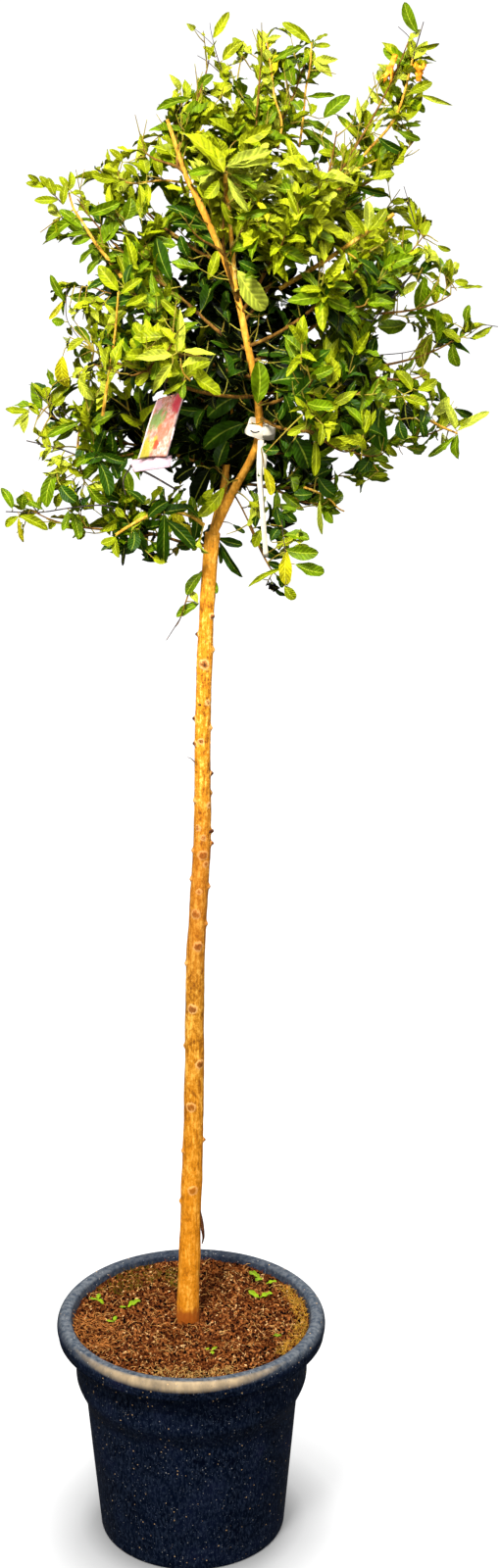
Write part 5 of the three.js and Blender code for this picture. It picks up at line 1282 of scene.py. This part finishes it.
limbPoints = np.array([p for path in [leaderPath, backPath, stemPath[-8:]] + [limb[1] for limb in boughLimbs]
                       + [limb[0] for limb in lobeLimbs + tanLimbs + darkLimbs] for p in path])
heroShapes = {"lime": slender, "bright": (0, 2, 4, *slender)}
heroWidth = 37  # percent of its length that the width of a plain blade is
for colour, rows in heroLeaves.items():
    for x, y, z, tipX, tipZ, width in rows:
        root = Vector((x, y, z)) / 1000
        tip = Vector((tipX, y + dice.uniform(-14, 5), tipZ)) / 1000
        nearest = Vector(limbPoints[np.argmin(((limbPoints - np.array(root)) ** 2).sum(axis=1))])
        direction = (tip - root).normalized()
        reach = (root - nearest).length
        if reach > 0.002:
            stalk = bezier(nearest, nearest + (root - nearest) * 0.4 + zAxis * reach * 0.1,
                           root - direction * min(0.3 * reach, 0.012), root, 5)
            shootLimbs.append((stalk, taper(min(0.0014, 0.0007 + reach * 0.012), 0.0006, len(stalk))))
            limbPoints = np.concatenate([limbPoints, np.array([tuple(p) for p in stalk[1:]])])
        face = (eye - root).normalized() + zAxis * 0.25 + Vector([dice.uniform(-0.3, 0.3) for _ in range(3)])
        shape = dice.choice(heroShapes.get(colour, blunt))
        matrix = leafMatrix(root, direction, face, (tip - root).length,
                            min(1.7, max(0.45, width / heroWidth)))
        leafPlaces[colour].append((shape, matrix))
        keepOpen([root.lerp(tip, share) for share in (0.25, 0.6, 0.9)], 0.011)

openTree = treeOf([(x, z, 0) for x, z, _, _ in openSpots])


def covers(point):
    x, z = fromFront(point)
    return any(point.y < openSpots[i][2] - 0.003 and distance < openSpots[i][3]
               for _, i, distance in openTree.find_range((x, z, 0), 0.027))


masses = sorted({spray["mass"] for spray in sprays})
ownPoints = [(p, masses.index(spray["mass"])) for spray in sprays for p in spray["path"]]
spaceTree = treeOf([point for point, _ in ownPoints])
limbTree = treeOf([p for path in limbPaths.values() for p in path[::2]])
low, high = (np.array(corner) for corner in cadBounds)


def growLeaf(spray, root, onward, turn, angle, size, colour):
    direction = leaning(onward, turn, angle)
    outward = (root - Vector(leaf["middle"])).normalized()
    adaxial = (onward - direction * onward.dot(direction)).normalized() if angle > 20 else outward
    face = adaxial * leaf["natural"] + outward * leaf["out"] + zAxis * leaf["up"]
    face.y += leaf["front"] * (-1 if root.y < 0.03 else 1)
    face += Vector([dice.uniform(-1, 1) for _ in range(3)]) * leaf["scatter"]
    length = leaf["length"] * size * spray["scale"]
    width = dice.uniform(0.8, 1.2)
    shape = dice.choice(slender if dice.random() < (0.7 if angle < 35 else 0.4) else blunt)
    middle, tip = root + direction * length * 0.55, root + direction * length
    found = spaceTree.find(middle)[1]
    if masses[ownPoints[found][1]] != spray["mass"] and dice.random() < leaf["crowded"]:
        return
    if limbTree.find(middle)[2] < leaf["clear"] + 0.006 or limbTree.find(tip)[2] < leaf["clear"]:
        return
    if np.any(np.array(tip) < low + leaf["inside"]) or np.any(np.array(tip) > high - leaf["inside"]):
        return
    if not inCrown(middle) or not inCrown(tip):
        return
    if covers(middle) or covers(tip) or covers(root.lerp(middle, 0.5)):
        return
    matrix = leafMatrix(root - direction * leaf["sunk"], direction, face, length, width)
    leafPlaces[colour].append((shape, matrix))


core = {"middle": (0.045, 0.02, 1.785), "size": (0.125, 0.11, 0.185), "depth": (0.01, 0.1)}
ladder = ["dark", "deep", "mid", "fresh", "bright", "lime"]
ladderLimits = (0.12, 0.34, 0.62, 0.86, 1.12)
paintedShadeAndLightSpots = [  # x and z of places seen from the front, their size, and how much painted shade darkens them, or below 0 painted light lightens them
    (0.145, 1.765, 0.07, 0.35), (0.128, 1.845, 0.05, 0.3), (0.30, 1.99, 0.06, -0.2),
    (0.21, 1.93, 0.07, -0.45), (0.0, 1.80, 0.05, -0.35), (0.05, 2.02, 0.07, -0.4), (-0.02, 1.58, 0.06, -0.2),
]


# a spray's tone: random patches and spread, plus painted light and shade, lighter outside and higher up,
# darker in the core, on spurs and at the painted shade spots
def sprayColour(spray):
    tip = spray["path"][-1]
    away = tip - Vector(leaf["middle"])
    outer = hypot(away.x / 0.30, away.y / 0.26, away.z / 0.42)
    inner = tip - Vector(core["middle"])
    depth = hypot(*[inner[i] / core["size"][i] for i in range(3)])
    patch = noise.noise(tip * 9 + Vector((3, 7, 1)))
    score = outer * 0.6 + away.z * 0.45 + patch * 0.45 + dice.gauss(0, 0.12) - max(0, 1.25 - depth) * 0.9
    if spray.get("spur"):
        score -= 0.2
    x, z = fromFront(tip)
    score -= sum(less * exp(-((x - middleX) ** 2 + (z - middleZ) ** 2) / size ** 2)
                 for middleX, middleZ, size, less in paintedShadeAndLightSpots if tip.y < 0.05)
    if tip.z > leaf["topFrom"]:
        score = max(score, 0.4)
    return ladder[sum(score >= limit for limit in ladderLimits)]


def neighbour(colour, step):
    return ladder[min(len(ladder) - 1, max(0, ladder.index(colour) + step))]


for spray in sprays:
    colour = spray.get("colour") or sprayColour(spray)
    path = spray["path"]
    fill = leaf["topFill"] if path[-1].z > leaf["topFrom"] else 1
    pairs = max(1, round(pathLength(path) * 0.8 / leaf["pairs"] * fill))
    turn = dice.uniform(0, 2 * pi)
    for i in range(pairs):
        at = 0.16 + 0.76 * i / (pairs - 1) if pairs > 1 else 0.7
        turn += pi / 2 + dice.uniform(-0.35, 0.35)
        root, onward = along(path, at)
        for side in (0, pi):
            if dice.random() < leaf["missing"]:
                continue
            kind = colour
            if dice.random() >= leaf["own"]:
                kind = dice.choice((neighbour(colour, 1), neighbour(colour, -1)))
            if dice.random() < leaf["yellowed"]:
                kind = "yellow"
            growLeaf(spray, root, onward, turn + side + dice.uniform(-0.3, 0.3),
                     leaf["angle"] + dice.gauss(0, 15),
                     dice.uniform(*leaf["sizes"]) * (1 - leaf["smallerAtTip"] * at), kind)
    root, onward = along(path, 1)
    for side in (0, pi):
        growLeaf(spray, root, onward, turn + side, dice.uniform(12, 40), dice.uniform(0.5, 0.85),
                 neighbour(colour, 1))

# leaves in the shade, behind the windows of the crown
for point, mass in ownPoints:
    x, z = fromFront(point)
    windowed = any(hypot(x - wx / 1000, z - wz / 1000) < radius * 1.5 / 1000
                   for wx, wz, radius in shadeWindows)
    offset = hypot((x - core["middle"][0]) / core["size"][0], (z - core["middle"][2]) / core["size"][2])
    near, far = core["depth"]
    if point.y < -0.02 or not windowed and (
            not near < point.y < far or offset > 1 or dice.random() < leaf["shadeSkipped"]):
        continue
    for _ in range(leaf["shaded"]):
        growLeaf({"mass": masses[mass], "scale": 1}, point, zAxis, dice.uniform(0, 2 * pi),
                 dice.uniform(30, 110), dice.uniform(0.7, 1.0),
                 "dark" if windowed or dice.random() < leaf["shadeDark"] else "deep")


def leafMaterial(name, colour, roughness):
    shine = leaf["darkShine"] if name.startswith("dark") else leaf["shine"]
    material = newMaterial(name, colour, roughness, shine)
    patch = grain(material, 70, 4)
    paleToneAndHighlight = [min(255, c * 1.2) for c in colour]
    rib = [c * 0.5 + p * 0.5 for c, p in zip(colour, (206, 208, 70))]
    # side veins, a pale margin as a painted edge highlight, and a midrib, along and across the blade
    chart = addNode(material, "UVMap", uv_map="blade").outputs["UV"]
    across = calc(material, "ABSOLUTE", axisOf(material, chart, "Y"))
    slope = calc(material, "SUBTRACT", axisOf(material, chart, "X"), multiply(material, across, 0.22))
    vein = calc(material, "SINE", multiply(material, slope, leaf["veins"]))
    colours = ramp(material, patch, (0.34, scaled(colour, 0.76)), (0.66, paleToneAndHighlight))
    for share, over in ((span(material, vein, 0.1, -1, 0, 0.5), scaled(colour, 0.66)),
                        (span(material, across, 0.84, 0.97, 0, 0.45), paleToneAndHighlight),
                        (span(material, across, 0.1, 0.05, 0, 0.8), rib)):
        colours = blend(material, share, colours, over)
    uneven = span(material, patch, 0.3, 0.7, roughness - 0.06, roughness + 0.08)
    wire(material, colours, uneven, vein, 0.0004, 0.5)
    return material


def leafMesh(places, name):
    mesh = joinedCopies([(leafShapes[shape][0], matrix) for shape, matrix in places], name)
    charts = [leafShapes[shape][1][i]
              for shape, _ in places for face in leafShapes[shape][0][1] for i in face]
    mesh.uv_layers.new(name="blade").data.foreach_set("uv", np.array(charts, dtype=np.float32).ravel())
    return mesh


foliageNodes = [name + "_foliage" for name, *_ in crown]
for name, (colour, roughness) in leafTones.items():
    mesh = leafMesh(leafPlaces[name], name)
    addPiece(mesh, name + "Leaves", leafMaterial(name, colour, roughness))
    print(name, len(leafPlaces[name]), "leaves", sum(len(p.vertices) - 2 for p in mesh.polygons), "triangles")
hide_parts(*foliageNodes)

seedlings = [  # x, y, how many leaves, length in millimetres, bearing
    (-142, 48, 3, 14, 80), (-96, 28, 1, 24, 40), (-98, 28, 1, 11, 200), (-114, -16, 2, 13, 80),
    (103, 114, 2, 22, 140), (112, 96, 1, 17, 10), (102, 56, 2, 22, 25), (135, -53, 1, 14, 200),
    (31, -92, 2, 12, 280), (28, -86, 1, 9, 240),
]
seedlingPlaces = []
for x, y, count, size, bearing in seedlings:
    foot = Vector((x / 1000, y / 1000, soilHeight(x / 1000, y / 1000) + 0.002))
    for i in range(count):
        heading = atBearing(bearing + i * 115, 0.3).normalized()
        seedlingPlaces.append((i + 2, leafMatrix(foot, heading, zAxis + heading * 0.2, size / 1000, 1.3)))
seedlingMaterial = leafMaterial("seedling", (118, 148, 14), 0.5)
addPiece(leafMesh(seedlingPlaces, "seedlings"), "seedlings", seedlingMaterial)

# the boughs get a darker bark than the twigs, as painted shade inside the crown
shadedBoughBark = barkMaterial("shadedBoughBark", (52, 32, 8), (104, 70, 18), (150, 112, 40))
addTubes([limb[1:] for limb in boughLimbs] + lobeLimbs, "boughs", 2, shadedBoughBark,
         [limb[0] + "_bough" for limb in boughLimbs])
for name, limbs, roundness, bark, *tones in (
        ("twigs", tanLimbs[1:], 2, "twigBark", (118, 82, 18), (188, 140, 40), (220, 182, 84)),
        # painted light: the first tan twig gets a brighter orange bark against the rosette's shade
        ("orangeTwig", tanLimbs[:1], 2, "orangeBark", (226, 132, 26), (255, 188, 60), (255, 222, 126)),
        ("darkTwigs", darkLimbs, 1, "darkBark", (30, 24, 30), (62, 52, 48), (96, 82, 70))):
    addTubes(limbs, name, roundness, barkMaterial(bark, *tones))
shootMaterial = mottled("greenShoot", (140, 132, 44), 0.6, 60, 3,
                        (0.3, (112, 84, 30)), (0.55, (136, 124, 40)), (0.75, (148, 146, 52)))
addTubes(shootLimbs, "greenShoots", 1, shootMaterial)
print("crown ready")

# tag and tie

tag = {
    "thickness": 0.0009, "columns": 12, "rows": 26, "bow": 0.004,
    "strip": ((-65, -150, 1677), (-12, -138, 1680), (-15, -139, 1666), (-60, -151, 1662)),
    # patches of colour: middle across and down, size, and colour
    "patches": ((0.84, 0.12, 0.27, (224, 52, 78)), (0.3, 0.36, 0.34, (112, 158, 74)),
                (0.62, 0.62, 0.26, (216, 108, 78)), (0.16, 0.86, 0.38, (206, 196, 48)),
                (0.55, 0.84, 0.1, (184, 50, 40)), (0.2, 0.12, 0.14, (232, 176, 182))),
}


def panel(corners, columns, rows, bow, thickness, name):
    # a thin sheet between four corners, bowed in the middle, with its own map of u across and v down
    bm = bmesh.new()
    bmesh.ops.create_grid(bm, x_segments=columns, y_segments=rows, size=0.5)
    across = (corners[1] - corners[0]).cross(corners[3] - corners[0]).normalized()
    layer = bm.loops.layers.uv.new("print")
    spots = {vert: (vert.co.x + 0.5, 0.5 - vert.co.y) for vert in bm.verts}
    for face in bm.faces:
        for loop in face.loops:
            loop[layer].uv = spots[loop.vert]
    for vert, (u, v) in spots.items():
        vert.co = onPanel(corners, u, v)
        vert.co += across * bow * (sin(pi * u) + 0.4 * sin(v * 5))
    bmesh.ops.solidify(bm, geom=bm.faces[:], thickness=thickness)
    return meshOf(bm, name)


def tagMaterial():
    material = newMaterial("tagPrint", (220, 140, 140), 0.35, 0.15)
    chart = addNode(material, "UVMap", uv_map="print").outputs["UV"]
    wobble = grain(material, 5, 4, at=chart)
    cloud = grain(material, 9, 4, 0.65, chart)
    colour = ramp(material, cloud, (0.4, (216, 124, 104)), (0.5, (226, 158, 136)), (0.6, (236, 194, 180)))
    for u, v, size, shade in tag["patches"]:
        spot = vectorCalc(material, "SUBTRACT", chart, (u, v, 0))
        away = vectorCalc(material, "LENGTH", vectorCalc(material, "MULTIPLY", spot, (1, 1.4, 0)))
        away = calc(material, "ADD", away, span(material, wobble, 0.35, 0.65, -0.12, 0.12))
        colour = blend(material, span(material, away, size, size * 0.5, 0, 0.85), colour, shade)
    speckle = span(material, grain(material, 26, 4, at=chart), 0.58, 0.66, 0, 0.6)
    colour = blend(material, speckle, colour, (84, 84, 50))
    fromMiddle = calc(material, "ABSOLUTE", calc(material, "SUBTRACT", axisOf(material, chart, "X"), 0.5))
    wire(material, blend(material, span(material, fromMiddle, 0.44, 0.47, 0, 0.8), colour, (240, 214, 210)))
    return material


def plasticWhite(name, colour, glow=0):
    # glow makes the plastic shine of itself, as painted light
    return mottled(name, colour, 0.4, 90, 3, (0.35, scaled(colour, 0.9)), (0.65, colour), shine=0.3,
                   Emission_Strength=glow, Emission_Color=(*tone(colour), 1))


tagFace = panel(tagCorners, tag["columns"], tag["rows"], tag["bow"], tag["thickness"], "tagFace")
addPiece(tagFace, "pictureTag", tagMaterial(), ["label"])
tagStrip = panel(fromMillimetres(tag["strip"]), 8, 3, 0.001, tag["thickness"], "tagStrip")
addPiece(tagStrip, "tagStrip", plasticWhite("stripWhite", (196, 162, 168)))
loop = smoothPath([(-0.012, -0.152, 1.757), (-0.020, -0.160, 1.775), (-0.008, -0.158, 1.792),
                   (0.004, -0.150, 1.780), (-0.008, -0.150, 1.758)], 24)
addTubes([(loop, [0.0006] * len(loop))], "tagLoop", 1, plasticWhite("loopWhite", (120, 104, 84)))

tie = {"height": 1.6925, "radius": 0.0125, "depth": 0.018, "wall": 0.0008, "tail": 0.0078,
       "thickness": 0.0007, "offset": (-0.0035, -0.001, 0.001), "turns": 48}


def ribbon(path, width, side, name, curl=0.0):
    # a flat strip along a path
    bm = bmesh.new()
    bmesh.ops.create_grid(bm, x_segments=3, y_segments=len(path) - 1, size=0.5)
    for vert in bm.verts:
        u, i = vert.co.x, int((vert.co.y + 0.5) * (len(path) - 1) + 0.5)
        across = Matrix.Rotation(curl * i / len(path), 3, "Z") @ Vector(side)
        vert.co = path[i] + across * width * u + Vector((0, -0.001, 0)) * (1 - 4 * u * u)
    bmesh.ops.solidify(bm, geom=bm.faces[:], thickness=tie["thickness"])
    return meshOf(bm, name)


def setDown(bm, at, heading, name):
    # moves a mesh that was made along Z to its place and heading
    turn = zAxis.rotation_difference(heading).to_matrix().to_4x4()
    bmesh.ops.transform(bm, matrix=Matrix.Translation(at) @ turn, verts=bm.verts[:])
    return meshOf(bm, name)


def tieBand():
    middle, onward = along(leaderPath, shareAtHeight(leaderPath, tie["height"]))
    onward = (onward + Vector((0.35, 0, 0.1))).normalized()
    r, half, t = tie["radius"], tie["depth"] / 2, tie["wall"]
    rows = [(r - t, -half), (r + 0.001, -half * 0.9), (r + 0.0004, 0), (r + 0.0012, half * 0.9),
            (r - t, half), (r - t * 2, 0)]
    bm = spun(rows, tie["turns"], True, 1e-7)
    for vert in bm.verts:
        vert.co.z += 0.0012 * sin(atan2(vert.co.y, vert.co.x) * 3)
    return setDown(bm, middle + Vector(tie["offset"]), onward, "tieBand")


# the tape and the band glow a little, as painted light that keeps them pale in the crown's shade
tape = plasticWhite("tapeWhitePaintedGlow", (222, 212, 188), 0.08)
addPiece(tieBand(), "tieBand", plasticWhite("bandWhitePaintedGlow", (242, 232, 208), 0.62), ["tie"])
flapPaths = {
    "tieShortTail": ([(0.106, -0.040, 1.676), (0.107, -0.046, 1.658), (0.106, -0.047, 1.636)], 10),
    "tieFlap": ([(0.104, -0.040, 1.692), (0.112, -0.038, 1.691), (0.121, -0.034, 1.693)], 8),
    "tieFlapBack": ([(0.100, -0.020, 1.688), (0.110, -0.024, 1.684), (0.120, -0.028, 1.686)], 8),
}
flaps = {  # width, the way across and the curl
    "tieTail": (tie["tail"], (1, 0.15, 0), 0.5), "tieShortTail": (0.006, (1, 0.3, 0), 0.3),
    "tieFlap": (0.017, (0.05, 0, 1), 0.0), "tieFlapBack": (0.014, (0.05, 0, 1), 0.0),
}
for name, (width, side, curl) in flaps.items():
    path = smoothPath(*flapPaths[name]) if name in flapPaths else tieTail
    addPiece(ribbon(path, width, side, name, curl), name, tape)
# painted shade: a dark strip on the band's front stands for the shade inside its slit
slit = smoothPath([(0.0885, -0.0445, 1.6935), (0.094, -0.0475, 1.6915), (0.100, -0.0470, 1.6930)], 8)
addTubes([(slit, [0.0011] * len(slit))], "tieSlit", 1, plasticWhite("slitPaintedShade", (44, 38, 36)))
print("tag and tie ready")

# dried blossom

blossomMaterial = mottled("driedBlossom", (214, 120, 20), 0.7, 130, 3,
                          (0.35, (200, 96, 8)), (0.52, (246, 150, 18)), (0.68, (255, 206, 76)), shine=0.2)


def blossom(at, heading, length, radius, seed):
    # a calyx tube with torn, splayed lobes
    bm = bmesh.new()
    bmesh.ops.create_cone(bm, cap_ends=False, segments=20, radius1=radius * 0.45, radius2=radius,
                          depth=length)
    upright = [edge for edge in bm.edges if abs(edge.verts[0].co.z - edge.verts[1].co.z) > 1e-6]
    bmesh.ops.subdivide_edges(bm, edges=upright, cuts=5)
    for vert in bm.verts:
        bearing, level = atan2(vert.co.y, vert.co.x), vert.co.z / length + 0.5
        lobe = cos(bearing * 5 + seed) * level ** 2
        crumple = noise.noise(vert.co * 260 + Vector((seed, 0, 0))) * 0.35
        pull = 1 + 0.25 * lobe + crumple - 0.35 * sin(level * pi)
        vert.co = Vector((vert.co.x * pull, vert.co.y * pull, vert.co.z + 0.2 * length * lobe))
    bmesh.ops.solidify(bm, geom=bm.faces[:], thickness=0.0006)
    return setDown(bm, at, Vector(heading), "blossom")


blossoms = [  # place, heading, length and radius
    ((0.2660, -0.022, 2.154), (-0.38, -0.25, -1), 0.031, 0.0070),
    ((0.302, -0.010, 2.1445), (0.05, -0.2, 1), 0.019, 0.0085),
]
for number, row in enumerate(blossoms):
    addPiece(blossom(*row, number * 2.0), f"driedBlossom{number + 1}", blossomMaterial)
